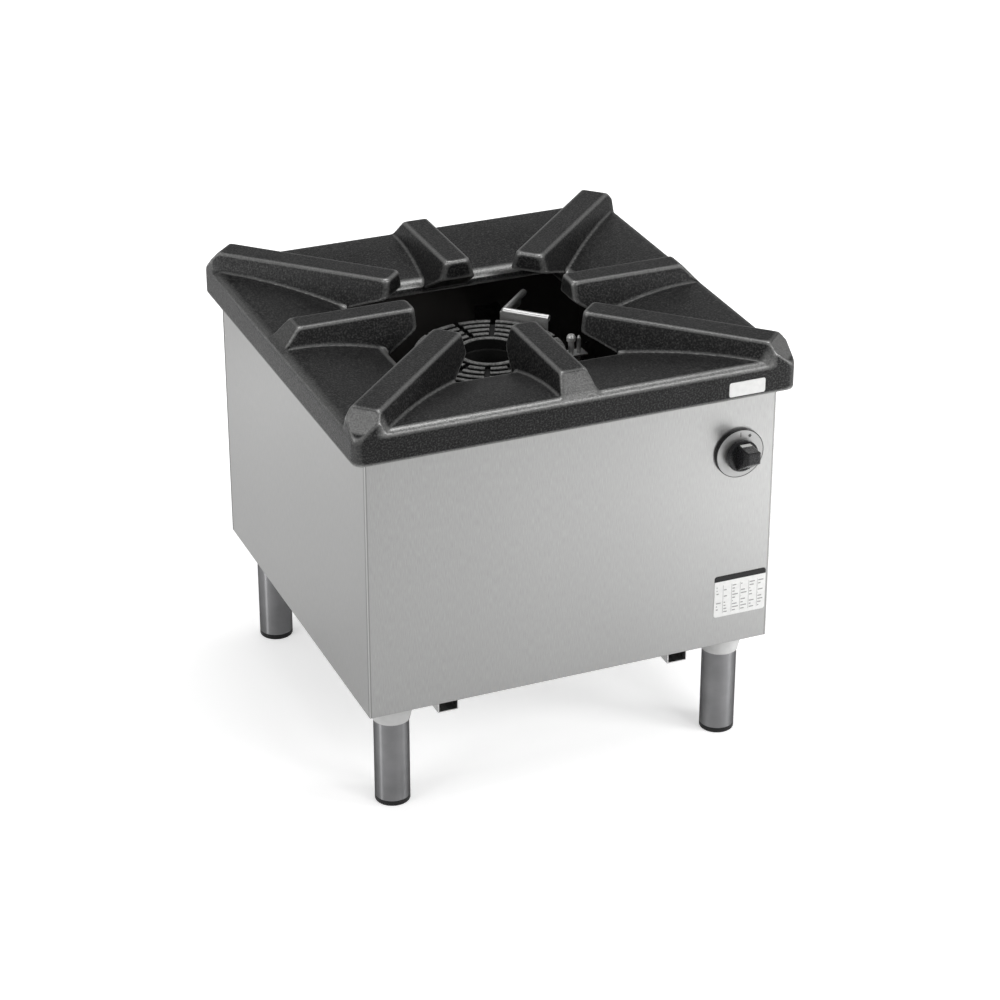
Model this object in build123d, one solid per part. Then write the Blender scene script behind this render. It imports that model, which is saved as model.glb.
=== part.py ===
from build123d import *
import os
from math import cos, pi, radians, sin, sqrt

# A free-standing single-burner stock pot stove: a cast-iron top with eight pan
# ribs over a folded stainless body, a ring burner, one safety gas tap and four
# round legs. Millimetres, +Z up, the front faces -Y, and the origin is on the
# floor under the middle of the body.

# Body shell
body_size = 600.0
leg_height = 165.0
panel_height = 423.0
sheet = 1.5
fold_round = 1.2
seam_gap = 0.4
base_flange = 85.0
side_flange = 30.0
top_flange = 22.0
corner_flange = 25.0

# Cast top
top_overhang = 20.0
skirt_wall = 8.0
skirt_height = 46.0
skirt_inner_round = 4.0
seat_depth = 13.0
top_corner_round = 14.0
top_edge_round = 10.0
ridge_land = 9.0
dish_drop = 18.0
dish_tilt = 16.0
opening_size = 332.0
lip_round = 16.0
lip_depth = 38.0
lip_wall = 10.0
plate_wall = 8.0
seat_width = 24.0
locating_pad_width = 40.0
locating_pad_offset = 180.0

# Pan ribs on the cast top
rib_rise = 27.0
rib_draft = 0.3
rib_tip_depth = 28.0
rib_root_depth = 58.0
rib_wall = 7.0
rib_top_round = 4.0
rib_nose_round = 8.0
rib_foot_drop = 6.0
rib_edge_gap = 0.4
rib_end_gap = 30.0
side_rib_width = 38.0
side_rib_burner_gap = 10.0
corner_rib_width = 42.0
corner_rib_burner_gap = 38.0

# Legs
leg_inset = 48.0
leg_diameter = 50.0
leg_wall = 1.5
leg_plug = 14.0
socket_diameter = 64.0
socket_height = 33.0
socket_cuff = 8.0
socket_web = 6.0
foot_height = 8.0
foot_stem_diameter = 12.0
foot_stem_length = 44.0
leg_plate_thickness = 4.0
leg_bolt_diameter = 10.0

# Drip tray and its runners
runner_leg_gap = 10.0
runner_width = 30.0
runner_depth = 32.0
runner_setback = 28.0
runner_inner_drop = 9.0
runner_lip = 20.0
runner_bolt_diameter = 6.0
runner_bolt_edge = 21.0
tray_sheet = 1.0
tray_depth = 20.0
tray_side_gap = 3.0
tray_hook = 8.0
tray_hook_drop = 6.0
tray_front_setback = 66.0
tray_back_setback = 58.0
tray_pull = 11.0

# Burner
burner_drop = 65.0
crown_radius = 108.0
crown_hole_radius = 42.0
crown_plate = 8.0
tooth_height = 8.0
crown_lip = 4.0
tooth_rows = 5
tooth_width = 7.0
tooth_slots = 12
tooth_slot_width = 8.0
tooth_slot_turn = 5.0
bowl_height = 52.0
bowl_wall = 6.0
bowl_overhang = 4.0
bowl_taper = 12.0
bowl_shoulder = 17.0
lug_root = 32.0
lug_inset = 24.0
lug_width = 26.0
lug_thickness = 8.0
burner_bolt_diameter = 8.0

# Rails under the burner
rail_width = 36.0
rail_depth = 20.0
rail_sheet = 2.0
rail_beyond_crown = 10.0
rail_tab_height = 40.0

# Mixer tube, air shutter and injector
mixer_radius = 20.0
mixer_wall = 4.0
mixer_flange_radius = 28.0
mixer_flange = 6.0
neck_reach = 14.0
mouth_radius = 30.0
mouth_length = 40.0
mouth_cone = 18.0
window_length = 20.0
window_width = 24.0
window_count = 4
shutter_wall = 2.0
shutter_overlap = 4.0
injector_radius = 8.0
injector_reach = 10.0
injector_nose = 6.0
injector_bore = 1.4
holder_size = 24.0
holder_chamfer = 3.0

# Gas tap, dial and knob
tap_inset = 55.0
tap_drop = 123.0
tap_radius = 17.0
tap_length = 62.0
tap_boss_radius = 11.0
tap_boss_reach = 25.0
tap_outlet_depth = 36.0
tap_port_offset = 8.5
tap_neck_radius = 9.0
tap_neck_reach = 4.2
tap_nut_flats = 26.0
tap_nut_height = 4.0
spindle_radius = 4.0
spindle_depth = 16.0
plunger_length = 30.0
push_travel = 4.0
dial_diameter = 72.0
dial_depth = 5.5
dial_wall = 2.5
dial_web = 2.0
dial_lip = 1.0
dial_lip_rise = 0.3
dial_thickness = 1.0
knob_diameter = 46.0
knob_hollow = 4.0
knob_wall = 2.5
knob_crown = 2.5
knob_crown_round = 1.5
knob_float = 4.5
grip_width = 20.0
grip_reach = 32.0
grip_top = 19.5
grip_base_low = -19.0
grip_tip_low = 2.5
grip_round = 2.5
hub_radius = 8.0
hub_depth = 12.0
pointer_width = 15.0
pointer_depth = 7.0
pointer_gap = 2.0
pointer_height = 0.4

# Gas lines
supply_radius = 8.0
supply_bend = 32.0
supply_height = 60.0
feed_radius = 6.0
feed_bend = 18.0
feed_run = 26.0
feed_jog = 44.0
pilot_tube_radius = 2.0
lead_radius = 1.5
small_bend = 8.0
small_run = 36.0
small_run_height = 14.0
pipe_wall = 1.0
pipe_nut_length = 12.0
pipe_nut_ratio = 3.4
inlet_radius = 10.48
inlet_hex_flats = 28.0
inlet_hex_length = 14.0
locknut_flats = 30.0
locknut_height = 8.0
relief_width = 2.0
relief_depth = 1.0

# Pilot burner, thermocouple, bracket and guard
pilot_gap = 12.0
pilot_offset = -16.0
pilot_radius = 4.5
pilot_head_radius = 6.5
pilot_head_height = 9.0
pilot_head_chamfer = 3.0
pilot_above_crown = 10.0
pilot_length = 46.0
thermocouple_spacing = 12.0
thermocouple_radius = 3.0
thermocouple_length = 48.0
bracket_sheet = 1.5
bracket_drop = 20.0
bracket_foot = 18.0
bracket_reach = 10.0
guard_sheet = 1.5
guard_gap = 5.0
guard_above_crown = 14.0
guard_wall_height = 24.0
guard_roll = 10.0
guard_left = 31.0
guard_right = 44.0
guard_return = 80.0
guard_leg_width = 14.0
guard_foot = 14.0
small_screw_diameter = 4.0
small_screw_head = 2.4

# Plates and back screws
rating_width = 80.0
rating_height = 65.0
rating_edge_gap = 4.0
rating_bottom = 45.0
nameplate_width = 54.0
nameplate_height = 21.0
nameplate_edge_gap = 49.0
nameplate_bottom = 6.0
plate_thickness = 0.8
back_screw_radius = 2.5
back_screw_head_radius = 5.0
back_screw_head = 2.5
back_screw_dome = 1.5
back_screw_rows = 3
back_screw_end_gap = 60.0

# Hexagon heads and nuts, as shares of the thread
hex_ratio = 1.7
head_ratio = 0.65
nut_ratio = 0.8

# Fits
hole_clearance = 0.3
running_clearance = 0.05
body_gap = 0.3
snug = 0.1
margin = 1.0

# Shared levels and places
body_half = body_size / 2
inner_half = body_half - sheet
z_base = leg_height
z_seat = z_base + panel_height
z_ridge = z_seat + seat_depth
z_skirt = z_ridge - skirt_height
z_rib = z_ridge + rib_rise
top_size = body_size + 2 * top_overhang
top_half = top_size / 2
corner_reach = (top_half - top_corner_round) * sqrt(2) + top_corner_round
hollow_half = top_half - skirt_wall
opening_half = opening_size / 2
leg_offset = body_half - leg_inset
leg_radius = leg_diameter / 2
leg_plate_half = leg_inset - 2 * sheet - seam_gap - margin
runner_outer = leg_offset - socket_diameter / 2 - runner_leg_gap - runner_lip
runner_inner = runner_outer - runner_width
runner_bolt_x = runner_outer + runner_lip / 2
runner_bolt_y = inner_half - base_flange + runner_bolt_edge
tray_rim = z_base - runner_inner_drop + body_gap
z_flange = z_base + sheet
z_crown = z_ridge - burner_drop
z_crown_plate = z_crown - tooth_height
z_bowl_top = z_crown_plate - crown_plate
z_rail = z_bowl_top - bowl_height
bowl_radius = crown_radius - bowl_overhang
z_mixer = z_rail + bowl_height / 2
rail_x = crown_radius + rail_beyond_crown
lug_offset = crown_radius - lug_inset
tap_x = body_half - tap_inset
z_tap = z_seat - tap_drop
tap_back = -inner_half + tap_length
gas_y = -inner_half + tap_outlet_depth
panel_front = -body_half
dial_front = panel_front - dial_depth + dial_lip_rise
knob_back = dial_front - knob_float
knob_top = knob_back - knob_hollow - knob_crown
knob_front = knob_top - grip_reach
hub_end = knob_top - hub_depth
spindle_end = dial_front + spindle_depth
z_supply = z_base + supply_height
pilot_orbit = crown_radius + pilot_gap
pilot_x = sqrt(pilot_orbit ** 2 - pilot_offset ** 2)
thermocouple_x = pilot_x + thermocouple_spacing
z_pilot = z_crown + pilot_above_crown
z_bracket = z_crown - bracket_drop
bracket_back = pilot_offset + bracket_reach
mixer_start = -(bowl_radius + neck_reach)
mixer_end = gas_y + holder_size / 2

FRONT = (0, -1, 0)
BACK = (0, 1, 0)
LEFT = (-1, 0, 0)
RIGHT = (1, 0, 0)
UP = (0, 0, 1)
DOWN = (0, 0, -1)
LOW_END = (Align.CENTER, Align.CENTER, Align.MIN)


def block(x0, x1, y0, y1, z0, z1):
    """Box between two corners."""
    middle = Pos((x0 + x1) / 2, (y0 + y1) / 2, (z0 + z1) / 2)
    return middle * Box(x1 - x0, y1 - y0, z1 - z0)


def rod(start, direction, radius, length):
    """Round bar from a start point along a direction."""
    return Plane(origin=start, z_dir=direction) * Cylinder(radius, length, align=LOW_END)


def hexagon(start, direction, flats, length):
    """Hexagon bar from a start point along a direction."""
    outline = RegularPolygon(flats / 2, 6, major_radius=False)
    return extrude(Plane(origin=start, z_dir=direction) * outline, length)


def turned(points):
    """Solid of revolution about Z from (radius, height) points."""
    return revolve(Plane.XZ * make_face(Polyline(*points, close=True)), Axis.Z)


def pipe(points, bend, radius, bore):
    """Round tube along straight runs joined by bends."""
    route = FilletPolyline(*points, radius=bend)
    start = Plane(origin=route @ 0, z_dir=route % 0)
    return sweep(start * (Circle(radius) - Circle(bore)), path=route)


def frustum(half_low, z_low, half_high, z_high):
    """Square pyramid slice between two levels."""
    low = Pos(0, 0, z_low) * Rectangle(2 * half_low, 2 * half_low)
    high = Pos(0, 0, z_high) * Rectangle(2 * half_high, 2 * half_high)
    return loft([low, high])


def corners():
    """The four body corners as name and signs."""
    for side, sx in (("left", -1), ("right", 1)):
        for end, sy in (("front", -1), ("back", 1)):
            yield f"{end}_{side}", sx, sy


# Cast top: skirt, dished plate with a square opening, and eight ribs
def dish_quarter():
    """What is cut away over the front quarter of the plate."""
    tilt = radians(dish_tilt)
    ridge = (top_half - top_edge_round - ridge_land, z_ridge)
    lip_x = opening_half + lip_round * (1 - sin(tilt))
    lip_z = z_ridge - dish_drop
    edge = (opening_half, lip_z - lip_round * cos(tilt))
    bow = pi / 4 + tilt / 2
    lip_middle = (
        opening_half + lip_round * (1 - sin(bow)),
        edge[1] + lip_round * cos(bow),
    )
    outline = Curve() + [
        Line((0, z_skirt - margin), (opening_half, z_skirt - margin)),
        Line((opening_half, z_skirt - margin), edge),
        ThreePointArc(edge, lip_middle, (lip_x, lip_z)),
        TangentArc((lip_x, lip_z), ridge, tangent=(cos(tilt), sin(tilt))),
        Line(ridge, (ridge[0], z_rib)),
        Line((ridge[0], z_rib), (0, z_rib)),
        Line((0, z_rib), (0, z_skirt - margin)),
    ]
    across = Plane(origin=(0, 0, 0), x_dir=FRONT, z_dir=LEFT)
    strip = extrude(across * make_face(outline), top_half, both=True)
    wedge = Polyline((0, 0), (top_half, -top_half), (-top_half, -top_half), close=True)
    quarter = extrude(make_face(wedge), z_rib + margin)
    return strip & quarter


def rib(inner, outer, width, opening, land, reach):
    """Pan rib along +X: a drafted bar that carries on over the opening."""
    profile = Polyline(
        (inner, z_rib),
        (inner, z_rib - rib_tip_depth),
        (opening, z_rib - rib_root_depth),
        (opening + lip_wall / 2, z_rib - rib_root_depth),
        (opening + lip_wall, z_ridge - dish_drop - plate_wall / 2),
        (land, z_ridge - plate_wall / 2),
        (reach, z_ridge - top_edge_round),
        (reach, z_ridge - rib_foot_drop),
        (outer, z_rib),
        close=True,
    )
    bar = extrude(Plane.XZ * make_face(profile), top_half / 2, both=True)
    low = z_rib - rib_root_depth - margin
    half_top = width / 2
    half_low = half_top + rib_draft * (z_rib - low)
    section = Polyline(
        (-half_top, z_rib),
        (half_top, z_rib),
        (half_low, low),
        (-half_low, low),
        close=True,
    )
    bar &= extrude(Plane.YZ * make_face(section), reach + margin)
    nose = bar.faces().sort_by(Axis.X)[0].edges()
    upright = nose.filter_by(lambda e: e.bounding_box().size.Z > rib_tip_depth / 2)
    bar = fillet(upright, rib_nose_round)
    return fillet(bar.faces().sort_by(Axis.Z)[-1].edges(), rib_top_round)


def rib_pocket(outer, width, opening):
    """Hollow under a rib along +X, so that the casting keeps an even wall."""
    start = opening + lip_wall
    high = z_rib - rib_wall
    half_high = width / 2 - rib_wall + rib_draft * rib_wall
    half_low = half_high + rib_draft * (high - z_skirt)
    section = Polyline(
        (-half_high, high),
        (half_high, high),
        (half_low, z_skirt),
        (-half_low, z_skirt),
        close=True,
    )
    face = Plane(origin=(start, 0, 0), x_dir=BACK, z_dir=RIGHT) * make_face(section)
    return extrude(face, outer - rib_wall - start)


def cast_top():
    outline = RectangleRounded(top_size, top_size, top_corner_round)
    plate = Pos(0, 0, z_skirt) * extrude(outline, skirt_height)
    plate = fillet(plate.faces().sort_by(Axis.Z)[-1].edges(), top_edge_round)
    cut = dish_quarter()
    for turn in range(4):
        plate -= Rot(0, 0, 90 * turn) * cut
    hollow = RectangleRounded(2 * hollow_half, 2 * hollow_half, skirt_inner_round)
    hollow = Pos(0, 0, z_skirt - margin) * extrude(hollow, z_seat - z_skirt + margin)
    lip_outer = opening_half + lip_wall
    z_under = z_ridge - dish_drop - plate_wall
    kept = block(-lip_outer, lip_outer, -lip_outer, lip_outer, z_ridge - lip_depth, z_under)
    kept += frustum(lip_outer, z_under, body_half - seat_width, z_seat)
    plate -= hollow - kept
    land = top_half - top_edge_round - ridge_land
    side_outer = top_half - rib_end_gap
    side = rib(
        crown_radius + side_rib_burner_gap,
        side_outer,
        side_rib_width,
        opening_half,
        land,
        top_half - rib_edge_gap,
    )
    corner_outer = corner_reach - rib_end_gap
    corner = rib(
        crown_radius + corner_rib_burner_gap,
        corner_outer,
        corner_rib_width,
        opening_half * sqrt(2),
        land * sqrt(2),
        corner_reach - rib_edge_gap,
    )
    rib_size = top_size - 2 * rib_edge_gap
    rib_outline = RectangleRounded(rib_size, rib_size, top_corner_round - rib_edge_gap)
    corner &= Rot(0, 0, 45) * extrude(rib_outline, z_rib + margin)
    side_pocket = rib_pocket(side_outer, side_rib_width, opening_half)
    corner_pocket = rib_pocket(corner_outer, corner_rib_width, opening_half * sqrt(2))
    for turn in range(4):
        spin = Rot(0, 0, 90 * turn)
        half_spin = Rot(0, 0, 90 * turn + 45)
        plate += [spin * side, half_spin * corner]
        plate -= [spin * side_pocket, half_spin * corner_pocket]
        for offset in (-locating_pad_offset, locating_pad_offset):
            near = offset - locating_pad_width / 2
            far = near + locating_pad_width
            plate += spin * block(body_half + margin, hollow_half, near, far, z_skirt, z_seat)
    return plate


def name_plate():
    """Plain plate on the front of the skirt."""
    right = top_half - nameplate_edge_gap
    bottom = z_skirt + nameplate_bottom
    return block(
        right - nameplate_width,
        right,
        -top_half - plate_thickness,
        -top_half,
        bottom,
        bottom + nameplate_height,
    )


# Body shell: front and back sheets with deep base flanges, two sides between them
def end_panel():
    """Front panel, before its holes."""
    shell = block(-body_half, body_half, -body_half, -inner_half, z_base, z_seat)
    wide = inner_half - body_gap
    shell += block(-wide, wide, -inner_half, -inner_half + base_flange, z_base, z_flange)
    shell += block(-wide, wide, -inner_half, -inner_half + top_flange, z_seat - sheet, z_seat)
    fold = shell.edges().filter_by(Axis.X).sort_by(Axis.Z)[:2].sort_by(Axis.Y)[0]
    return fillet(fold, fold_round)


def corner_holes(side_y):
    """Holes in a base flange for the leg bolts and the runner bolts."""
    leg_hole = leg_bolt_diameter / 2 + hole_clearance
    runner_hole = runner_bolt_diameter / 2 + hole_clearance
    holes = []
    for sx in (-1, 1):
        leg_spot = (sx * leg_offset, side_y * leg_offset, z_base - margin)
        holes.append(rod(leg_spot, UP, leg_hole, sheet + 2 * margin))
        runner_spot = (sx * runner_bolt_x, side_y * runner_bolt_y, z_base - margin)
        holes.append(rod(runner_spot, UP, runner_hole, sheet + 2 * margin))
    return holes


def front_panel():
    start = (tap_x, -body_half - margin, z_tap)
    tap_hole = rod(start, BACK, tap_neck_radius + hole_clearance, sheet + 2 * margin)
    return end_panel() - [tap_hole, *corner_holes(-1)]


def back_screw_places():
    """Screw heads along both edges of the back panel."""
    run = panel_height - 2 * back_screw_end_gap
    for sx in (-1, 1):
        for row in range(back_screw_rows):
            height = z_base + back_screw_end_gap + run * row / max(back_screw_rows - 1, 1)
            yield (sx * (inner_half - corner_flange / 2), height)


def back_panel():
    panel = Rot(0, 0, 180) * end_panel()
    inlet_hole = inlet_radius + hole_clearance
    holes = [rod((tap_x, inner_half - margin, z_supply), BACK, inlet_hole, sheet + 2 * margin)]
    screw_hole = back_screw_radius + snug
    for x, z in back_screw_places():
        holes.append(rod((x, inner_half - margin, z), BACK, screw_hole, sheet + 2 * margin))
    return panel - [*holes, *corner_holes(1)]


def side_panel():
    """Right panel, with flanges that lie behind the front and back sheets."""
    end = inner_half - seam_gap
    shell = block(inner_half, body_half, -end, end, z_base, z_seat)
    shell = fillet(shell.edges().filter_by(Axis.Z).sort_by(Axis.X)[-2:], fold_round)
    base_run = inner_half - base_flange - body_gap
    shell += block(inner_half - side_flange, inner_half, -base_run, base_run, z_base, z_flange)
    top_run = inner_half - top_flange - body_gap
    shell += block(inner_half - top_flange, inner_half, -top_run, top_run, z_seat - sheet, z_seat)
    low = z_flange + body_gap
    high = z_seat - sheet - body_gap
    for near in (-end, end - sheet):
        shell += block(inner_half - corner_flange, inner_half, near, near + sheet, low, high)
    holes = []
    screw_hole = back_screw_radius + snug
    for x, z in back_screw_places():
        holes.append(rod((x, end - sheet - margin, z), BACK, screw_hole, sheet + 2 * margin))
    return shell - holes


def back_panel_screws():
    """Pan-head screws that hold the back panel to the side panels."""
    screws = []
    for x, z in back_screw_places():
        shank = rod((x, body_half, z), FRONT, back_screw_radius, 2 * sheet + seam_gap)
        head = rod((x, body_half, z), BACK, back_screw_head_radius, back_screw_head)
        rim = head.edges().filter_by(GeomType.CIRCLE).sort_by(Axis.Y)[-1]
        screws.append(shank + fillet(rim, back_screw_dome))
    return Compound(children=screws)


def rating_plate():
    """Plain data plate low on the front panel."""
    right = body_half - rating_edge_gap
    bottom = z_base + rating_bottom
    return block(
        right - rating_width,
        right,
        -body_half - plate_thickness,
        -body_half,
        bottom,
        bottom + rating_height,
    )


# Legs: plate, socket, tube and adjustable foot at each corner
def leg_plate(sx, sy):
    half = leg_plate_half
    x = sx * leg_offset
    y = sy * leg_offset
    top = z_flange + leg_plate_thickness
    plate = block(x - half, x + half, y - half, y + half, z_flange, top)
    hole = leg_bolt_diameter / 2 + hole_clearance
    return plate - rod((x, y, z_base), UP, hole, sheet + leg_plate_thickness + margin)


def leg_socket(sx, sy):
    """Tapered collar that the tube pushes into."""
    bore = leg_radius + snug
    mouth = bore + leg_wall
    wide = socket_diameter / 2
    hole = leg_bolt_diameter / 2 + hole_clearance
    collar = turned([
        (hole, 0),
        (wide, 0),
        (wide, -socket_cuff),
        (mouth, -socket_height),
        (bore, -socket_height),
        (bore, -socket_web),
        (hole, -socket_web),
    ])
    return Pos(sx * leg_offset, sy * leg_offset, z_base) * collar


def leg_tube(sx, sy):
    """Tube closed at the foot by a plug that takes the foot's stem."""
    top = z_base - socket_web
    bottom = foot_height + body_gap
    bore = leg_radius - leg_wall
    stem_hole = foot_stem_diameter / 2 + running_clearance
    tube = turned([
        (stem_hole, bottom),
        (leg_radius, bottom),
        (leg_radius, top),
        (bore, top),
        (bore, bottom + leg_plug),
        (stem_hole, bottom + leg_plug),
    ])
    return Pos(sx * leg_offset, sy * leg_offset, 0) * tube


def leg_foot(sx, sy):
    """Foot pad on a stem, screwed up into the tube."""
    pad = Cylinder(leg_radius, foot_height, align=LOW_END)
    pad = fillet(pad.edges().sort_by(Axis.Z)[0], foot_height / 4)
    pad += Cylinder(foot_stem_diameter / 2, foot_height + foot_stem_length, align=LOW_END)
    return Pos(sx * leg_offset, sy * leg_offset, 0) * pad


def leg_bolts():
    """One bolt down through each leg plate into its socket."""
    bolts = []
    head_top = z_flange + leg_plate_thickness
    shank = leg_plate_thickness + sheet + socket_web
    for _, sx, sy in corners():
        spot = (sx * leg_offset, sy * leg_offset, head_top)
        head = hexagon(spot, UP, leg_bolt_diameter * hex_ratio, leg_bolt_diameter * head_ratio)
        bolts.append(head + rod(spot, DOWN, leg_bolt_diameter / 2, shank))
    return Compound(children=bolts)


# Drip tray hung in two channels under the body
def tray_runner(side):
    """Channel with a lip that is bolted up under the base flanges."""
    run = body_half - runner_setback
    inner = runner_inner
    outer = runner_outer
    low = z_base - runner_depth
    shape = block(inner, outer, -run, run, low, low + sheet)
    shape += block(outer - sheet, outer, -run, run, low, z_base)
    shape += block(inner, inner + sheet, -run, run, low, z_base - runner_inner_drop)
    shape += block(outer, outer + runner_lip, -run, run, z_base - sheet, z_base)
    hole = runner_bolt_diameter / 2 + hole_clearance
    for sy in (-1, 1):
        spot = (runner_bolt_x, sy * runner_bolt_y, z_base - sheet - margin)
        shape -= rod(spot, UP, hole, sheet + 2 * margin)
    return shape if side > 0 else mirror(shape, about=Plane.YZ)


def runner_bolts():
    """Bolts from below through the runner lips and the base flanges."""
    bolts = []
    flats = runner_bolt_diameter * hex_ratio
    for _, sx, sy in corners():
        spot = (sx * runner_bolt_x, sy * runner_bolt_y, z_base - sheet)
        top = (sx * runner_bolt_x, sy * runner_bolt_y, z_flange)
        head = hexagon(spot, DOWN, flats, runner_bolt_diameter * head_ratio)
        shank = rod(spot, UP, runner_bolt_diameter / 2, 2 * sheet)
        nut = hexagon(top, UP, flats, runner_bolt_diameter * nut_ratio)
        bolts.append(head + shank + nut)
    return Compound(children=bolts)


def drip_tray():
    """Pan whose turned-down side hooks run inside the channels."""
    front = -body_half + tray_front_setback
    back = body_half - tray_back_setback
    wide = runner_inner - tray_side_gap
    top = tray_rim + tray_sheet
    low = top - tray_depth
    hook_low = tray_rim - tray_hook_drop
    pan = block(-wide, wide, front, back, low, top)
    pan -= block(
        -wide + tray_sheet,
        wide - tray_sheet,
        front + tray_sheet,
        back - tray_sheet,
        low + tray_sheet,
        top + margin,
    )
    reach = runner_inner + sheet + tray_hook
    for sx in (-1, 1):
        near, far = sorted((sx * wide, sx * reach))
        pan += block(near, far, front, back, tray_rim, top)
        tip_near, tip_far = sorted((sx * (reach - tray_sheet), sx * reach))
        pan += block(tip_near, tip_far, front, back, hook_low, tray_rim)
    pull = front - tray_pull
    pan += block(-wide, wide, pull, front, tray_rim, top)
    return pan + block(-wide, wide, pull, pull + tray_sheet, hook_low, tray_rim)


# Burner: bowl, toothed crown and the two rails that carry them
def bowl_lugs():
    """Bolt places on the rails, as signs and positions."""
    for sx in (-1, 1):
        for sy in (-1, 1):
            yield sx, (sx * rail_x, sy * lug_offset)


def burner_bowl():
    """Ring chamber with a neck for the mixer and four lugs."""
    inner = crown_hole_radius
    low = bowl_radius - bowl_taper
    shoulder = z_bowl_top - bowl_shoulder
    floor = z_rail + bowl_wall
    chamber = turned([
        (inner, z_rail),
        (low, z_rail),
        (bowl_radius, shoulder),
        (bowl_radius, z_bowl_top),
        (inner, z_bowl_top),
    ])
    hollow = turned([
        (inner + bowl_wall, floor),
        (low - bowl_wall, floor),
        (bowl_radius - bowl_wall, shoulder),
        (bowl_radius - bowl_wall, z_bowl_top + margin),
        (inner + bowl_wall, z_bowl_top + margin),
    ])
    neck_start = -(inner + 2 * bowl_wall)
    neck_end = -(bowl_radius + neck_reach)
    chamber += rod((0, neck_start, z_mixer), FRONT, mixer_radius, neck_start - neck_end)
    collar = (0, neck_end + mixer_flange, z_mixer)
    chamber += rod(collar, FRONT, mixer_flange_radius, mixer_flange)
    side = lug_width / 2
    for sx, (x, y) in bowl_lugs():
        near, far = sorted((sx * lug_root, x + sx * side))
        chamber += block(near, far, y - side, y + side, z_rail, z_rail + lug_thickness)
    chamber -= hollow
    bore = mixer_radius - mixer_wall
    chamber -= rod((0, neck_start, z_mixer), FRONT, bore, neck_start - neck_end + margin)
    hole = burner_bolt_diameter / 2 + hole_clearance
    for _, (x, y) in bowl_lugs():
        chamber -= rod((x, y, z_rail - margin), UP, hole, lug_thickness + 2 * margin)
    return chamber


def burner_crown():
    """Loose cap: a lip into the bowl, a plain inner rim and rows of arc teeth."""
    lip_outer = bowl_radius - bowl_wall - body_gap
    lip_low = z_bowl_top - crown_lip
    crown = turned([
        (crown_hole_radius, z_bowl_top),
        (lip_outer - crown_lip, z_bowl_top),
        (lip_outer - crown_lip, lip_low),
        (lip_outer, lip_low),
        (lip_outer, z_bowl_top),
        (crown_radius, z_bowl_top),
        (crown_radius, z_crown),
        (crown_hole_radius, z_crown),
    ])
    pitch = (crown_radius - crown_hole_radius - tooth_width) / (tooth_rows - 1)
    cuts = []
    for row in range(tooth_rows - 1):
        groove_in = crown_hole_radius + tooth_width + pitch * row
        groove_out = groove_in + pitch - tooth_width
        cuts.append(turned([
            (groove_in, z_crown_plate),
            (groove_out, z_crown_plate),
            (groove_out, z_crown + margin),
            (groove_in, z_crown + margin),
        ]))
    slot_start = crown_hole_radius + tooth_width + margin
    for slot in range(tooth_slots):
        bar = block(
            slot_start,
            crown_radius + margin,
            -tooth_slot_width / 2,
            tooth_slot_width / 2,
            z_crown_plate,
            z_crown + margin,
        )
        cuts.append(Rot(0, 0, tooth_slot_turn + 360 / tooth_slots * slot) * bar)
    return crown - cuts


def burner_bolts():
    """Bolts through the lugs and the rail tops, each with its nut."""
    bolts = []
    flats = burner_bolt_diameter * hex_ratio
    for _, (x, y) in bowl_lugs():
        top = (x, y, z_rail + lug_thickness)
        under = (x, y, z_rail - rail_sheet)
        bolt = hexagon(top, UP, flats, burner_bolt_diameter * head_ratio)
        bolt += rod(top, DOWN, burner_bolt_diameter / 2, lug_thickness + rail_sheet)
        bolt += hexagon(under, DOWN, flats, burner_bolt_diameter * nut_ratio)
        bolts.append(bolt)
    return Compound(children=bolts)


def burner_rail(side):
    """Folded channel from the front panel to the back panel."""
    x0 = rail_x - rail_width / 2
    x1 = rail_x + rail_width / 2
    low = z_rail - rail_depth
    rail = block(x0, x1, -inner_half, inner_half, z_rail - rail_sheet, z_rail)
    rail += block(x0, x0 + rail_sheet, -inner_half, inner_half, low, z_rail)
    rail += block(x1 - rail_sheet, x1, -inner_half, inner_half, low, z_rail)
    for near in (-inner_half, inner_half - rail_sheet):
        rail += block(x0, x1, near, near + rail_sheet, z_rail - rail_tab_height, z_rail)
    hole = burner_bolt_diameter / 2 + hole_clearance
    under = z_rail - rail_sheet - margin
    through = rail_sheet + 2 * margin
    for sy in (-1, 1):
        rail -= rod((rail_x, sy * lug_offset, under), UP, hole, through)
    if side < 0:
        return mirror(rail, about=Plane.YZ)
    small_hole = small_screw_diameter / 2 + hole_clearance
    for x, y in small_screw_places():
        rail -= rod((x, y, under), UP, small_hole, through)
    return rail


# Mixer tube with its turning air shutter and the injector at its mouth
def along_mixer(shape):
    """Put a shape turned about Z onto the mixer axis, heights running to the front."""
    return Plane(origin=(0, 0, z_mixer), z_dir=FRONT) * shape


def window_cutters(depth):
    """Bars that open the air windows in a wall of the mouth."""
    middle = -mixer_end - mixer_wall - window_length / 2 - shutter_overlap
    cutters = []
    for window in range(window_count):
        bar = Pos(depth / 2 + mouth_radius / 2, 0, middle) * Box(depth, window_width, window_length)
        cutters.append(Rot(0, 0, 360 / window_count * (window + 0.5)) * bar)
    return cutters


def mixer_tube():
    start = -mixer_start
    end = -mixer_end
    bore = mixer_radius - mixer_wall
    mouth_bore = mouth_radius - mixer_wall
    mouth = end - mouth_length
    tube = turned([
        (bore, start),
        (mixer_flange_radius, start),
        (mixer_flange_radius, start + mixer_flange),
        (mixer_radius, start + mixer_flange),
        (mixer_radius, mouth - mouth_cone),
        (mouth_radius, mouth),
        (mouth_radius, end),
        (injector_radius + snug, end),
        (injector_radius + snug, end - mixer_wall),
        (mouth_bore, end - mixer_wall),
        (mouth_bore, mouth),
        (bore, mouth - mouth_cone),
    ])
    return along_mixer(tube - window_cutters(mouth_radius))


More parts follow.
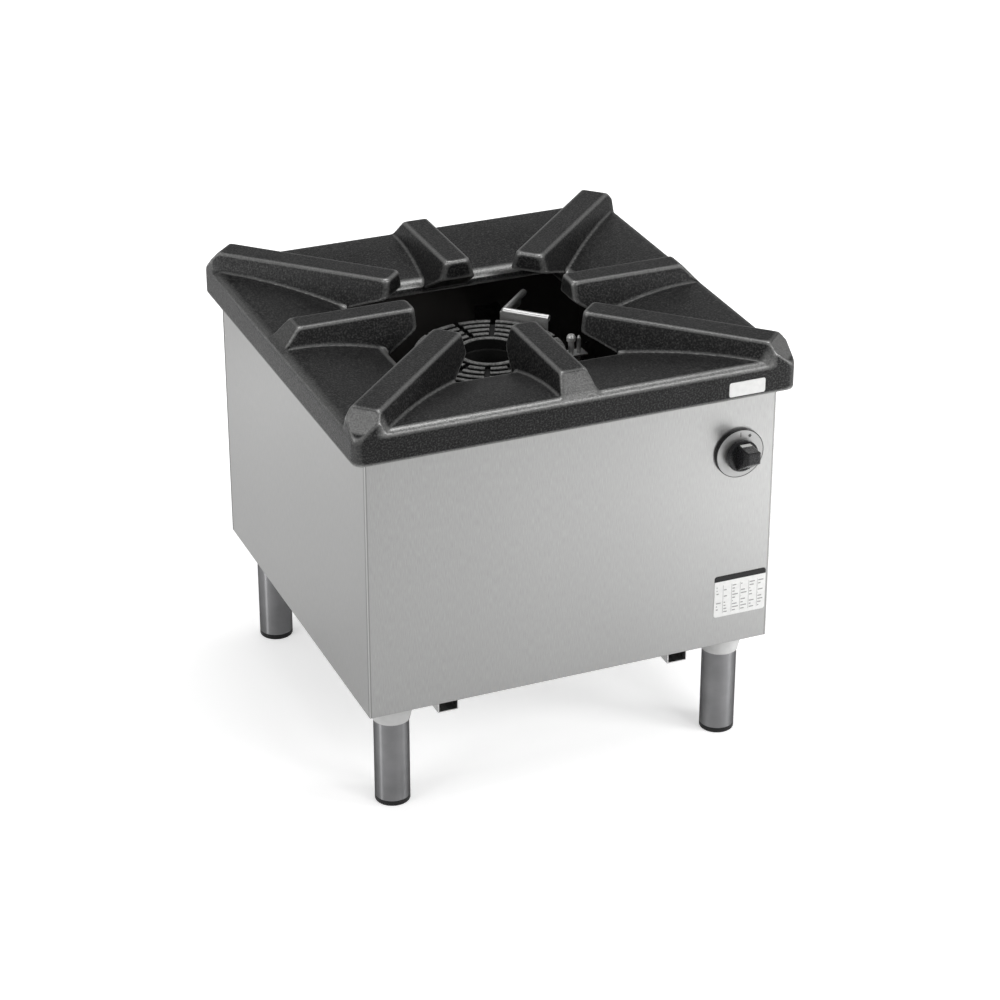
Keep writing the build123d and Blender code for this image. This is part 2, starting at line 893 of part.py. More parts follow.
def air_shutter():
    """Sleeve whose windows line up with those of the mouth."""
    inner = mouth_radius + running_clearance
    outer = inner + shutter_wall
    high = -mixer_end - mixer_wall
    low = high - window_length - 2 * shutter_overlap
    sleeve = turned([(inner, low), (outer, low), (outer, high), (inner, high)])
    return along_mixer(sleeve - window_cutters(mouth_radius))


def injector():
    """Brass nozzle through the end wall of the mouth."""
    end = -mixer_end
    tip = end - mixer_wall - injector_reach
    jet = turned([
        (injector_bore, end),
        (injector_radius, end),
        (injector_radius, tip),
        (injector_bore * 2, tip - injector_nose),
        (injector_bore, tip - injector_nose),
    ])
    return along_mixer(jet)


def injector_holder():
    """Elbow block: gas comes in from the tap's side and leaves to the injector."""
    half = holder_size / 2
    elbow = block(-half, half, gas_y - half, gas_y + half, z_mixer - half, z_mixer + half)
    elbow = chamfer(elbow.edges().filter_by(Axis.Y), holder_chamfer)
    bore = feed_radius - pipe_wall
    elbow -= rod((half, gas_y, z_mixer), LEFT, bore, half + bore)
    return elbow - rod((0, gas_y + half, z_mixer), FRONT, bore, half)


# Safety gas tap behind the front panel, with its dial and knob
def tap_body():
    barrel = rod((tap_x, tap_back, z_tap), FRONT, tap_radius, tap_length)
    neck_front = dial_front - tap_neck_reach
    barrel += rod((tap_x, -inner_half, z_tap), FRONT, tap_neck_radius, -inner_half - neck_front)
    barrel += rod((tap_x, gas_y, z_tap), LEFT, tap_boss_radius, tap_boss_reach)
    barrel += rod((tap_x, gas_y, z_tap), DOWN, tap_boss_radius, tap_boss_reach)
    bore = spindle_radius + running_clearance
    bore_end = spindle_end + plunger_length + push_travel + 2 * body_gap
    start = neck_front - margin
    return barrel - rod((tap_x, start, z_tap), BACK, bore, bore_end - start)


def tap_spindle():
    """Round spindle from the tap into the knob's hub."""
    length = spindle_end - hub_end - body_gap
    return rod((tap_x, spindle_end, z_tap), FRONT, spindle_radius, length)


def tap_plunger():
    """Push rod that the spindle presses to open the safety valve."""
    start = (tap_x, spindle_end + body_gap, z_tap)
    return rod(start, BACK, spindle_radius, plunger_length)


def on_dial(shape):
    """Put a shape turned about Z onto the tap's axis, heights running forward from the panel."""
    return Plane(origin=(tap_x, panel_front, z_tap), z_dir=FRONT) * shape


def dial_base():
    """Shallow round bezel, hollow behind, with a recess in front for the dial plate."""
    rim = dial_diameter / 2
    hole = tap_neck_radius + hole_clearance
    seat = panel_front - dial_front - dial_thickness
    return on_dial(turned([
        (hole, seat - dial_web),
        (rim - dial_wall, seat - dial_web),
        (rim - dial_wall, 0),
        (rim, 0),
        (rim, dial_depth - dial_lip / 2),
        (rim - dial_lip / 2, dial_depth),
        (rim - dial_lip, dial_depth),
        (rim - dial_lip, seat),
        (hole, seat),
    ]))


def dial_plate():
    """Pale disc set into the bezel and clamped there by the tap's nut."""
    hole = tap_neck_radius + hole_clearance
    edge = dial_diameter / 2 - dial_lip - snug
    front = panel_front - dial_front
    seat = front - dial_thickness
    return on_dial(turned([(hole, seat), (edge, seat), (edge, front), (hole, front)]))


def tap_nut():
    """Thin nut on the tap's neck, in front of the dial."""
    start = (tap_x, dial_front, z_tap)
    nut = hexagon(start, FRONT, tap_nut_flats, tap_nut_height)
    return nut - rod(start, FRONT, tap_neck_radius + running_clearance, tap_nut_height)


def control_knob():
    """Hollow skirt with a crown, a wedge grip and a hub on the spindle."""
    wide = knob_diameter / 2
    inside = wide - knob_wall
    height = knob_hollow + knob_crown
    cup = turned([
        (0, knob_hollow),
        (inside, knob_hollow),
        (inside, 0),
        (wide, 0),
        (wide, height - knob_crown_round),
        (wide - knob_crown_round, height),
        (0, height),
    ])
    shape = Plane(origin=(tap_x, knob_back, z_tap), z_dir=FRONT) * cup
    side = Polyline(
        (knob_top + knob_crown, z_tap + grip_top),
        (knob_top + knob_crown, z_tap + grip_base_low),
        (knob_top, z_tap + grip_base_low),
        (knob_front, z_tap + grip_tip_low),
        (knob_front, z_tap + grip_top),
        close=True,
    )
    bar = extrude(Plane.YZ * make_face(side), grip_width / 2, both=True)
    front = bar.faces().sort_by(Axis.Y)[0].edges()
    bar = fillet(front + bar.edges().filter_by(Axis.Y), grip_round)
    shape += Pos(tap_x, 0, 0) * bar
    hub_start = dial_front - tap_neck_reach - body_gap - push_travel
    shape += rod((tap_x, hub_start, z_tap), FRONT, hub_radius, hub_start - knob_top)
    socket = spindle_radius + snug
    start = hub_start + margin
    return shape - rod((tap_x, start, z_tap), FRONT, socket, start - hub_end)


def knob_pointer():
    """White mark on the top of the grip, at the skirt's edge."""
    back = knob_top - pointer_gap
    side = pointer_width / 2
    low = z_tap + grip_top
    return block(
        tap_x - side,
        tap_x + side,
        back - pointer_depth,
        back,
        low,
        low + pointer_height,
    )


# Gas lines from the inlet at the back to the tap, the injector and the pilot
def supply_pipe():
    top = z_tap - tap_boss_reach
    stop = inner_half - inlet_hex_length
    route = [(tap_x, gas_y, top), (tap_x, gas_y, z_supply), (tap_x, stop, z_supply)]
    return pipe(route, supply_bend, supply_radius, supply_radius - pipe_wall)


def inlet_connector():
    """Threaded inlet through the back panel, reaching as far back as the knob does forward."""
    hexed = hexagon((tap_x, inner_half, z_supply), FRONT, inlet_hex_flats, inlet_hex_length)
    stub = rod((tap_x, inner_half, z_supply), BACK, inlet_radius, -knob_front - inner_half)
    tip = stub.edges().filter_by(GeomType.CIRCLE).sort_by(Axis.Y)[-1]
    shape = hexed + chamfer(tip, pipe_wall)
    relief = (tap_x, body_half + locknut_height + margin, z_supply)
    shape -= rod(relief, BACK, inlet_radius + margin, relief_width) - rod(
        relief, BACK, inlet_radius - relief_depth, relief_width
    )
    bore = supply_radius - pipe_wall
    start = (tap_x, inner_half - inlet_hex_length - margin, z_supply)
    return shape - rod(start, BACK, bore, 2 * body_size)


def inlet_locknut():
    start = (tap_x, body_half, z_supply)
    nut = hexagon(start, BACK, locknut_flats, locknut_height)
    return nut - rod(start, BACK, inlet_radius + running_clearance, locknut_height)


def feed_pipe():
    start = tap_x - tap_boss_reach
    route = [
        (start, gas_y, z_tap),
        (start - feed_run, gas_y, z_tap),
        (start - feed_run - feed_jog, gas_y, z_mixer),
        (holder_size / 2, gas_y, z_mixer),
    ]
    return pipe(route, feed_bend, feed_radius, feed_radius - pipe_wall)


def pilot_port():
    """Where the pilot tube leaves the back of the tap."""
    return (tap_x - tap_port_offset, tap_back, z_tap)


def lead_port():
    """Where the thermocouple lead enters the back of the tap."""
    return (tap_x + tap_port_offset, tap_back, z_tap)


def pilot_tube():
    """Thin tube: straight back from the tap, across over the rail, and up from the front."""
    port = pilot_port()
    z_run = z_rail + small_run_height
    route = [
        port,
        (port[0], port[1] + small_run, port[2]),
        (pilot_x, pilot_offset - small_run, z_run),
        (pilot_x, pilot_offset, z_run),
        (pilot_x, pilot_offset, z_pilot - pilot_length),
    ]
    return pipe(route, small_bend, pilot_tube_radius, pilot_tube_radius / 2)


def thermocouple_lead():
    """Thin lead: straight back from the tap, across, and up from the right."""
    port = lead_port()
    z_run = z_rail + small_run_height
    route = [
        port,
        (port[0], port[1] + small_run, port[2]),
        (thermocouple_x + small_run, pilot_offset, z_run),
        (thermocouple_x, pilot_offset, z_run),
        (thermocouple_x, pilot_offset, z_pilot - thermocouple_length),
    ]
    return pipe(route, small_bend, lead_radius, lead_radius / 2)


def pipe_nut(start, direction, radius):
    """Compression nut round a pipe end."""
    nut = hexagon(start, direction, pipe_nut_ratio * radius, pipe_nut_length)
    return nut - rod(start, direction, radius + running_clearance, pipe_nut_length)


def pipe_nuts():
    feed_start = (tap_x - tap_boss_reach, gas_y, z_tap)
    supply_top = (tap_x, gas_y, z_tap - tap_boss_reach)
    holder_face = (holder_size / 2, gas_y, z_mixer)
    inlet_face = (tap_x, inner_half - inlet_hex_length, z_supply)
    return Compound(children=[
        pipe_nut(feed_start, LEFT, feed_radius),
        pipe_nut(supply_top, DOWN, supply_radius),
        pipe_nut(holder_face, RIGHT, feed_radius),
        pipe_nut(inlet_face, FRONT, supply_radius),
        pipe_nut(pilot_port(), BACK, pilot_tube_radius),
        pipe_nut(lead_port(), BACK, lead_radius),
    ])


# Pilot burner and thermocouple on a bracket, with a bent guard beside the crown
def pilot_burner():
    head = z_pilot - pilot_head_height
    return Pos(pilot_x, pilot_offset, 0) * turned([
        (pilot_tube_radius / 2, z_pilot - pilot_length),
        (pilot_radius, z_pilot - pilot_length),
        (pilot_radius, head),
        (pilot_head_radius, head),
        (pilot_head_radius, z_pilot - pilot_head_chamfer),
        (pilot_radius, z_pilot),
        (pilot_tube_radius / 2, z_pilot),
    ])


def thermocouple():
    tip = z_pilot - pilot_head_chamfer
    return Pos(thermocouple_x, pilot_offset, 0) * turned([
        (0, z_pilot - thermocouple_length),
        (thermocouple_radius, z_pilot - thermocouple_length),
        (thermocouple_radius, tip - thermocouple_radius),
        (thermocouple_radius / 2, tip),
        (0, tip),
    ])


def small_screw_places():
    """Screws that hold the bracket's foot and the guard's foot to the right rail."""
    bracket_spot = (rail_x, bracket_back + bracket_sheet + bracket_foot / 2)
    along = guard_right - guard_leg_width / 2
    across = crown_radius + guard_gap + guard_sheet + guard_foot / 2
    guard_spot = ((along + across) / sqrt(2), (across - along) / sqrt(2))
    return [bracket_spot, guard_spot]


def pilot_bracket():
    """Sheet bent from a foot on the rail up to a tab that holds pilot and thermocouple."""
    x0 = pilot_x - bracket_reach
    x1 = thermocouple_x + bracket_reach
    front = pilot_offset - bracket_reach
    back = bracket_back
    top = z_bracket + bracket_sheet
    through = bracket_sheet + 2 * margin
    shape = block(x0, x1, front, back, z_bracket, top)
    shape += block(x0, x1, back, back + bracket_sheet, z_rail, top)
    foot_end = back + bracket_sheet + bracket_foot
    shape += block(x0, x1, back + bracket_sheet, foot_end, z_rail, z_rail + bracket_sheet)
    for x, radius in ((pilot_x, pilot_radius), (thermocouple_x, thermocouple_radius)):
        shape -= rod((x, pilot_offset, z_bracket - margin), UP, radius + snug, through)
    x, y = small_screw_places()[0]
    hole = small_screw_diameter / 2 + hole_clearance
    return shape - rod((x, y, z_rail - margin), UP, hole, through)


def pilot_guard():
    """Bent sheet with rolled top edges: one wall along the crown, one running outwards."""
    near = crown_radius + guard_gap
    far = near + guard_return
    radius = guard_roll / 2
    middle = z_crown + guard_above_crown - radius
    low = z_crown + guard_above_crown - guard_wall_height
    left = -guard_left
    bend = (left + radius, near + radius, middle)
    along = guard_right - bend[0]
    outward = far - bend[1]
    shape = block(left, guard_right, near, near + guard_sheet, low, middle)
    shape += block(left, left + guard_sheet, near, far, low, middle)
    shape += [rod(bend, RIGHT, radius, along), rod(bend, BACK, radius, outward)]
    shape += Pos(*bend) * Sphere(radius)
    bore = radius - guard_sheet
    shape -= [rod(bend, RIGHT, bore, along), rod(bend, BACK, bore, outward)]
    shape -= Pos(*bend) * Sphere(bore)
    leg_start = guard_right - guard_leg_width
    shape += block(leg_start, guard_right, near, near + guard_sheet, z_rail, low)
    foot_end = near + guard_sheet + guard_foot
    shape += block(leg_start, guard_right, near, foot_end, z_rail, z_rail + guard_sheet)
    shape = Rot(0, 0, -45) * shape
    x, y = small_screw_places()[1]
    hole = small_screw_diameter / 2 + hole_clearance
    return shape - rod((x, y, z_rail - margin), UP, hole, guard_sheet + 2 * margin)


def small_screws():
    screws = []
    for (x, y), thickness in zip(small_screw_places(), (bracket_sheet, guard_sheet)):
        top = (x, y, z_rail + thickness)
        length = thickness + rail_sheet + small_screw_diameter
        head = rod(top, UP, small_screw_diameter, small_screw_head)
        screws.append(head + rod(top, DOWN, small_screw_diameter / 2, length))
    return Compound(children=screws)


nodes = {
    "cast_top": cast_top(),
    "name_plate": name_plate(),
    "front_panel": front_panel(),
    "back_panel": back_panel(),
    "right_panel": side_panel(),
    "left_panel": mirror(side_panel(), about=Plane.YZ),
    "back_panel_screws": back_panel_screws(),
    "rating_plate": rating_plate(),
    "leg_bolts": leg_bolts(),
    "tray_runner_left": tray_runner(-1),
    "tray_runner_right": tray_runner(1),
    "runner_bolts": runner_bolts(),
    "drip_tray": drip_tray(),
    "burner_bowl": burner_bowl(),
    "burner_crown": burner_crown(),
    "burner_bolts": burner_bolts(),
    "burner_rail_left": burner_rail(-1),
    "burner_rail_right": burner_rail(1),
    "mixer_tube": mixer_tube(),
    "air_shutter": air_shutter(),
    "injector": injector(),
    "injector_holder": injector_holder(),
    "tap_body": tap_body(),
    "tap_spindle": tap_spindle(),
    "tap_plunger": tap_plunger(),
    "tap_nut": tap_nut(),
    "dial_base": dial_base(),
    "dial_plate": dial_plate(),
    "control_knob": control_knob(),
    "knob_pointer": knob_pointer(),
    "supply_pipe": supply_pipe(),
    "inlet_connector": inlet_connector(),
    "inlet_locknut": inlet_locknut(),
    "feed_pipe": feed_pipe(),
    "pilot_tube": pilot_tube(),
    "thermocouple_lead": thermocouple_lead(),
    "pipe_nuts": pipe_nuts(),
    "pilot_burner": pilot_burner(),
    "thermocouple": thermocouple(),
    "pilot_bracket": pilot_bracket(),
    "pilot_guard": pilot_guard(),
    "small_screws": small_screws(),
}
for corner, sx, sy in corners():
    nodes[f"leg_plate_{corner}"] = leg_plate(sx, sy)
    nodes[f"leg_socket_{corner}"] = leg_socket(sx, sy)
    nodes[f"leg_tube_{corner}"] = leg_tube(sx, sy)
    nodes[f"leg_foot_{corner}"] = leg_foot(sx, sy)

os.makedirs("parts", exist_ok=True)
for name, shape in nodes.items():
    export_step(shape, f"parts/{name}.step")
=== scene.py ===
import math
import bmesh
import bpy
import numpy as np
from mathutils import Matrix, Vector


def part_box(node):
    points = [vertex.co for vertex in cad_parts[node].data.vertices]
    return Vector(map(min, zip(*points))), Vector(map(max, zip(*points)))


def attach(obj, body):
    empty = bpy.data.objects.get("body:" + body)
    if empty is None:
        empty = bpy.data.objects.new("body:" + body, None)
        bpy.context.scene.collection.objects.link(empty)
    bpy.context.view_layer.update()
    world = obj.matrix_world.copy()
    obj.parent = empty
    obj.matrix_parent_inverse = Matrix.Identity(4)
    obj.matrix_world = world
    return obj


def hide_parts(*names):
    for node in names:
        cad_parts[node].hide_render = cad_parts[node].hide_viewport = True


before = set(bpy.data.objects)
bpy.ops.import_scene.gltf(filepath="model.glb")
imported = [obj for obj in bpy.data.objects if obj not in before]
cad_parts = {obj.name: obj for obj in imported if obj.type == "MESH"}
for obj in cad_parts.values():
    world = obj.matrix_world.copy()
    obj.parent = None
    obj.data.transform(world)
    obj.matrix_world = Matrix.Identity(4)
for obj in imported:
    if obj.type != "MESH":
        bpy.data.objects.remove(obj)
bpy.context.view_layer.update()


# Feet: round pads of black nylon under the legs. Each is moulded in one with a
# stem that screws up into its leg tube, so the stove can be levelled.
CORNERS = ("front_left", "front_right", "back_left", "back_right")


def new_finish(name, plain):
    """A material, its tree and its shader, with the values that are even all over set."""
    finish = bpy.data.materials.new(name)
    finish.use_nodes = True
    shader = finish.node_tree.nodes["Principled BSDF"]
    for socket, value in plain.items():
        shader.inputs[socket].default_value = value
    return finish, finish.node_tree, shader


def grain(tree, scale, stretch=(1, 1, 1), detail=2):
    """Noise fixed to the piece, drawn out along an axis whose stretch is small."""
    place = tree.nodes.new("ShaderNodeTexCoord")
    draw = tree.nodes.new("ShaderNodeMapping")
    draw.inputs["Scale"].default_value = stretch
    noise = tree.nodes.new("ShaderNodeTexNoise")
    noise.inputs["Scale"].default_value = scale
    noise.inputs["Detail"].default_value = detail
    tree.links.new(place.outputs["Object"], draw.inputs["Vector"])
    tree.links.new(draw.outputs["Vector"], noise.inputs["Vector"])
    return noise.outputs["Fac"]


def between(tree, value, low, high, to_low=0.0, to_high=1.0):
    """A value brought from one range into another, and held there."""
    reach = tree.nodes.new("ShaderNodeMapRange")
    reach.inputs["From Min"].default_value = low
    reach.inputs["From Max"].default_value = high
    reach.inputs["To Min"].default_value = to_low
    reach.inputs["To Max"].default_value = to_high
    tree.links.new(value, reach.inputs["Value"])
    return reach.outputs["Result"]


def vary_gloss(tree, shader, pattern, smooth, rough):
    """Let the roughness follow the middle of a pattern's range."""
    spread = between(tree, pattern, 0.3, 0.7, smooth, rough)
    tree.links.new(spread, shader.inputs["Roughness"])


def raise_grain(tree, shader, height, depth, strength, under=None):
    """Turn a pattern into relief, over an earlier relief where there is one."""
    bump = tree.nodes.new("ShaderNodeBump")
    bump.inputs["Distance"].default_value = depth
    bump.inputs["Strength"].default_value = strength
    tree.links.new(height, bump.inputs["Height"])
    if under:
        tree.links.new(under, bump.inputs["Normal"])
    tree.links.new(bump.outputs["Normal"], shader.inputs["Normal"])
    return bump.outputs["Normal"]


def dress(finish, *names):
    """Give a finish to CAD pieces whose shape already serves."""
    for name in names:
        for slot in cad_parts[name].material_slots:
            slot.material = finish


foot_nylon, tree, shader = new_finish("foot_nylon", {
    "Base Color": (0.009, 0.009, 0.0095, 1),
    "Specular IOR Level": 0.3,
})
pitting = grain(tree, scale=1800, detail=3)
raise_grain(tree, shader, pitting, depth=0.0004, strength=0.25)
vary_gloss(tree, shader, pitting, smooth=0.36, rough=0.5)
dress(foot_nylon, *(f"leg_foot_{corner}" for corner in CORNERS))


# Leg tubes: thin stainless tube, ground on a belt, so fine lines run round it.
# Each pushes up into its socket, and a plug at the bottom takes the foot's stem.
def tint(tree, shader, ground, *layers):
    """Colour a finish: a ground tone, and over it tones that each follow a pattern."""
    below = None
    for share, tone in layers:
        # A colour mix has its two colours in sockets 6 and 7, and its result in 2.
        mix = tree.nodes.new("ShaderNodeMix")
        mix.data_type = "RGBA"
        tree.links.new(share, mix.inputs["Factor"])
        if below:
            tree.links.new(below, mix.inputs[6])
        else:
            mix.inputs[6].default_value = (*ground, 1)
        mix.inputs[7].default_value = (*tone, 1)
        below = mix.outputs[2]
    tree.links.new(below, shader.inputs["Base Color"])


leg_tube_steel, tree, shader = new_finish("leg_tube_steel", {
    "Metallic": 1,
    "Specular Tint": (0.35, 0.35, 0.35, 1),
    "Anisotropic": 0.85,
    "Anisotropic Rotation": 0.25,
})
around = tree.nodes.new("ShaderNodeTangent")
around.direction_type = "RADIAL"
around.axis = "Z"
tree.links.new(around.outputs["Tangent"], shader.inputs["Tangent"])
belt_lines = grain(tree, scale=1500, stretch=(0.04, 0.04, 1), detail=3)
handled = between(tree, grain(tree, scale=22, detail=4), 0.35, 0.7)
tint(tree, shader, (0.22, 0.22, 0.225), (handled, (0.275, 0.275, 0.28)))
vary_gloss(tree, shader, belt_lines, smooth=0.3, rough=0.4)
raise_grain(tree, shader, belt_lines, depth=0.0002, strength=0.12)
dress(leg_tube_steel, *(f"leg_tube_{corner}" for corner in CORNERS))


# Leg sockets: tapered collars of die-cast alloy, left pale and slightly sandy.
# A plate inside the cabinet and one hexagon bolt hold each under its corner.
socket_alloy, tree, shader = new_finish("socket_alloy", {"Metallic": 0.5, "Roughness": 0.48})
cloud = between(tree, grain(tree, scale=40, detail=3), 0.35, 0.65)
tint(tree, shader, (0.52, 0.52, 0.516), (cloud, (0.6, 0.6, 0.596)))
raise_grain(tree, shader, grain(tree, scale=900, detail=4), depth=0.0004, strength=0.2)
dress(socket_alloy, *(f"leg_socket_{corner}" for corner in CORNERS))

bolt_zinc, tree, shader = new_finish("bolt_zinc", {"Metallic": 1})
plating = grain(tree, scale=260, detail=5)
paler = between(tree, plating, 0.35, 0.68)
tint(tree, shader, (0.46, 0.47, 0.49), (paler, (0.64, 0.64, 0.63)))
vary_gloss(tree, shader, plating, smooth=0.26, rough=0.44)
dress(bolt_zinc, "leg_bolts", "runner_bolts", "burner_bolts")

base_plate_steel, tree, shader = new_finish("base_plate_steel", {"Metallic": 1, "Roughness": 0.46})
mill_scale = grain(tree, scale=120, detail=6)
paler = between(tree, mill_scale, 0.35, 0.7)
tint(tree, shader, (0.33, 0.33, 0.34), (paler, (0.5, 0.5, 0.5)))
raise_grain(tree, shader, mill_scale, depth=0.0003, strength=0.15)
dress(base_plate_steel, *(f"leg_plate_{corner}" for corner in CORNERS))


# Cabinet: four folded sheets of satin stainless, the polish running upright. The
# front and back go the full width, and the flanges of the sides lie behind them.
CABINET_HALF = 0.3
FOLD_SPAN = 0.1
LEVEL = (1, 1, 0)


def sum_up(tree, kind, *values):
    """Arithmetic of one kind on sockets or numbers, from left to right."""
    total = values[0]
    for value in values[1:] or (0,):
        step = tree.nodes.new("ShaderNodeMath")
        step.operation = kind
        for socket, term in zip(step.inputs, (total, value)):
            if isinstance(term, (int, float)):
                socket.default_value = term
            else:
                tree.links.new(term, socket)
        total = step.outputs[0]
    return total


def vector_step(tree, kind, first, second=None):
    """One step of arithmetic on vectors, the second a socket or three numbers."""
    step = tree.nodes.new("ShaderNodeVectorMath")
    step.operation = kind
    tree.links.new(first, step.inputs[0])
    if isinstance(second, tuple):
        step.inputs[1].default_value = second
    elif second:
        tree.links.new(second, step.inputs[1])
    return step.outputs["Value" if kind in ("DOT_PRODUCT", "LENGTH") else "Vector"]


def spot_on(tree, kind="Object"):
    """A spot on the piece, or the way it faces where kind is Normal, as X, Y and Z."""
    place = tree.nodes.new("ShaderNodeTexCoord")
    parts = tree.nodes.new("ShaderNodeSeparateXYZ")
    tree.links.new(place.outputs[kind], parts.inputs["Vector"])
    return parts.outputs


def from_corner_fold(tree):
    """How far a spot is from the nearest upright corner, and half of that on the sides."""
    spot = spot_on(tree)
    across = sum_up(tree, "ABSOLUTE", spot["X"])
    along = sum_up(tree, "ABSOLUTE", spot["Y"])
    nearer = sum_up(tree, "MINIMUM", across, along)
    distance = between(tree, nearer, CABINET_HALF - FOLD_SPAN, CABINET_HALF, FOLD_SPAN, 0.0)
    on_side = sum_up(tree, "GREATER_THAN", across, along)
    return sum_up(tree, "MULTIPLY", distance, between(tree, on_side, 0, 1, 1.0, 0.5))


def turned_inward(tree):
    """1 on faces that look into the cabinet, 0 on its outside."""
    place = tree.nodes.new("ShaderNodeTexCoord").outputs
    from_middle = vector_step(tree, "MULTIPLY", place["Object"], LEVEL)
    outward = vector_step(tree, "DOT_PRODUCT", from_middle, place["Normal"])
    return between(tree, outward, -0.05, -0.15)


panel_steel, tree, shader = new_finish("panel_steel", {"Metallic": 1})
polish = grain(tree, scale=1500, stretch=(1, 1, 0.05), detail=4)
satin = grain(tree, scale=800, stretch=(1, 1, 0.12), detail=5)
drift = grain(tree, scale=2.2, stretch=(1, 1, 0.6), detail=3)
corner_fold = from_corner_fold(tree)
inner = turned_inward(tree)
tint(
    tree, shader, (0.33, 0.33, 0.327),
    (between(tree, polish, 0.3, 0.7), (0.415, 0.415, 0.411)),
    (between(tree, satin, 0.4, 0.7, 0, 0.3), (0.3, 0.3, 0.297)),
    (between(tree, drift, 0.4, 0.7, 0, 0.3), (0.31, 0.31, 0.307)),
    # Painted light at the upright corners: a painted highlight along each fold, and a painted
    # shadow line just beside it where the sheets meet.
    (between(tree, corner_fold, 0.0032, 0.0024), (0.23, 0.23, 0.228)),
    (between(tree, corner_fold, 0.0014, 0.0009), (0.45, 0.45, 0.446)),
    # Faces inside the cabinet are painted dark: painted shade for its dim inside.
    (inner, (0.09, 0.087, 0.083)),
)
# A plain mix has its two numbers in sockets 2 and 3. The inside is left dull.
dull = tree.nodes.new("ShaderNodeMix")
tree.links.new(inner, dull.inputs["Factor"])
tree.links.new(between(tree, polish, 0.3, 0.7, 0.275, 0.31), dull.inputs[2])
dull.inputs[3].default_value = 0.7
tree.links.new(dull.outputs[0], shader.inputs["Roughness"])
raise_grain(tree, shader, polish, depth=0.0002, strength=0.03)
dress(panel_steel, "front_panel", "back_panel", "left_panel", "right_panel")


# Tray runners: two channels of rolled steel, bolted up under the base flanges of
# the front and back sheets. Their ends show below the front edge.
runner_steel, tree, shader = new_finish("runner_steel", {"Metallic": 1})
rolled = grain(tree, scale=700, stretch=(1, 0.03, 1), detail=4)
paler = between(tree, rolled, 0.3, 0.7)
tint(tree, shader, (0.54, 0.54, 0.535), (paler, (0.66, 0.66, 0.655)))
vary_gloss(tree, shader, rolled, smooth=0.28, rough=0.42)
dress(runner_steel, "tray_runner_left", "tray_runner_right")


# Drip tray: a shallow pan of thin bright sheet whose side hooks hang in the
# runners. The polish of the sheet runs from side to side.
tray_sheet, tree, shader = new_finish("tray_sheet", {"Metallic": 1})
polish = grain(tree, scale=1800, stretch=(0.12, 1, 1), detail=2)
stain = grain(tree, scale=9, detail=5)
tint(
    tree, shader, (0.56, 0.56, 0.555),
    (between(tree, polish, 0.3, 0.7), (0.6, 0.6, 0.595)),
    (between(tree, stain, 0.55, 0.75, 0, 0.35), (0.46, 0.44, 0.41)),
)
vary_gloss(tree, shader, stain, smooth=0.3, rough=0.42)
dress(tray_sheet, "drip_tray")


# Burner rails: two folded channels that carry the burner, from the front panel to
# the back, of galvanised sheet with a frosted zinc skin, its colour painted dark as
# painted shade for the dim inside of the cabinet.
rail_zinc, tree, shader = new_finish("rail_zinc", {"Metallic": 1})
place = tree.nodes.new("ShaderNodeTexCoord")
frost = tree.nodes.new("ShaderNodeTexVoronoi")
frost.inputs["Scale"].default_value = 120
tree.links.new(place.outputs["Object"], frost.inputs["Vector"])
flake = tree.nodes.new("ShaderNodeSeparateColor")
tree.links.new(frost.outputs["Color"], flake.inputs["Color"])
# The zinc's colour is kept dark: painted shade for the cabinet's dim inside.
tint(tree, shader, (0.12, 0.12, 0.125), (flake.outputs["Red"], (0.2, 0.2, 0.205)))
dulled = between(tree, flake.outputs["Green"], 0, 1, 0.46, 0.6)
tree.links.new(dulled, shader.inputs["Roughness"])
dress(rail_zinc, "burner_rail_left", "burner_rail_right")


# Burner bowl: the ring chamber under the crown, sand-cast in iron and left raw,
# so its edges are round, its corners are filled and its skin is rough.
MERGE = 0.00001
TINY = 1e-12
EVENING_PASSES = 5


def plain_mesh(piece):
    """The mesh of an object with its modifiers worked in, and the modifiers gone."""
    graph = bpy.context.evaluated_depsgraph_get()
    mesh = bpy.data.meshes.new_from_object(piece.evaluated_get(graph), depsgraph=graph)
    piece.modifiers.clear()
    piece.data = mesh
    return mesh


def rows_of(items, field, width, kind=float):
    """What a mesh stores for each of its items, as the rows of an array."""
    values = np.empty(len(items) * width, dtype=kind)
    items.foreach_get(field, values)
    return values.reshape(-1, width)


def mark_edges(mesh):
    """Store how sharply the skin bends at each point: above zero on an edge, below in a corner."""
    points = rows_of(mesh.vertices, "co", 3)
    normals = rows_of(mesh.vertex_normals, "vector", 3)
    ends = rows_of(mesh.edges, "vertices", 2, np.int32)
    near = ends[:, 0]
    far = ends[:, 1]
    bend = np.zeros(len(points))
    count = np.zeros(len(points))
    for here, there in ((near, far), (far, near)):
        step = points[there] - points[here]
        squared = np.maximum((step * step).sum(1), TINY)
        bend += np.bincount(here, -2 * (step * normals[here]).sum(1) / squared, len(points))
        count += np.bincount(here, minlength=len(points))
    count = np.maximum(count, 1)
    bend /= count
    for _ in range(EVENING_PASSES):
        around = np.bincount(near, bend[far], len(points))
        around += np.bincount(far, bend[near], len(points))
        bend = (bend + around / count) / 2
    stored = mesh.attributes.new("edge", "FLOAT", "POINT")
    stored.data.foreach_set("value", bend.astype(np.float32))


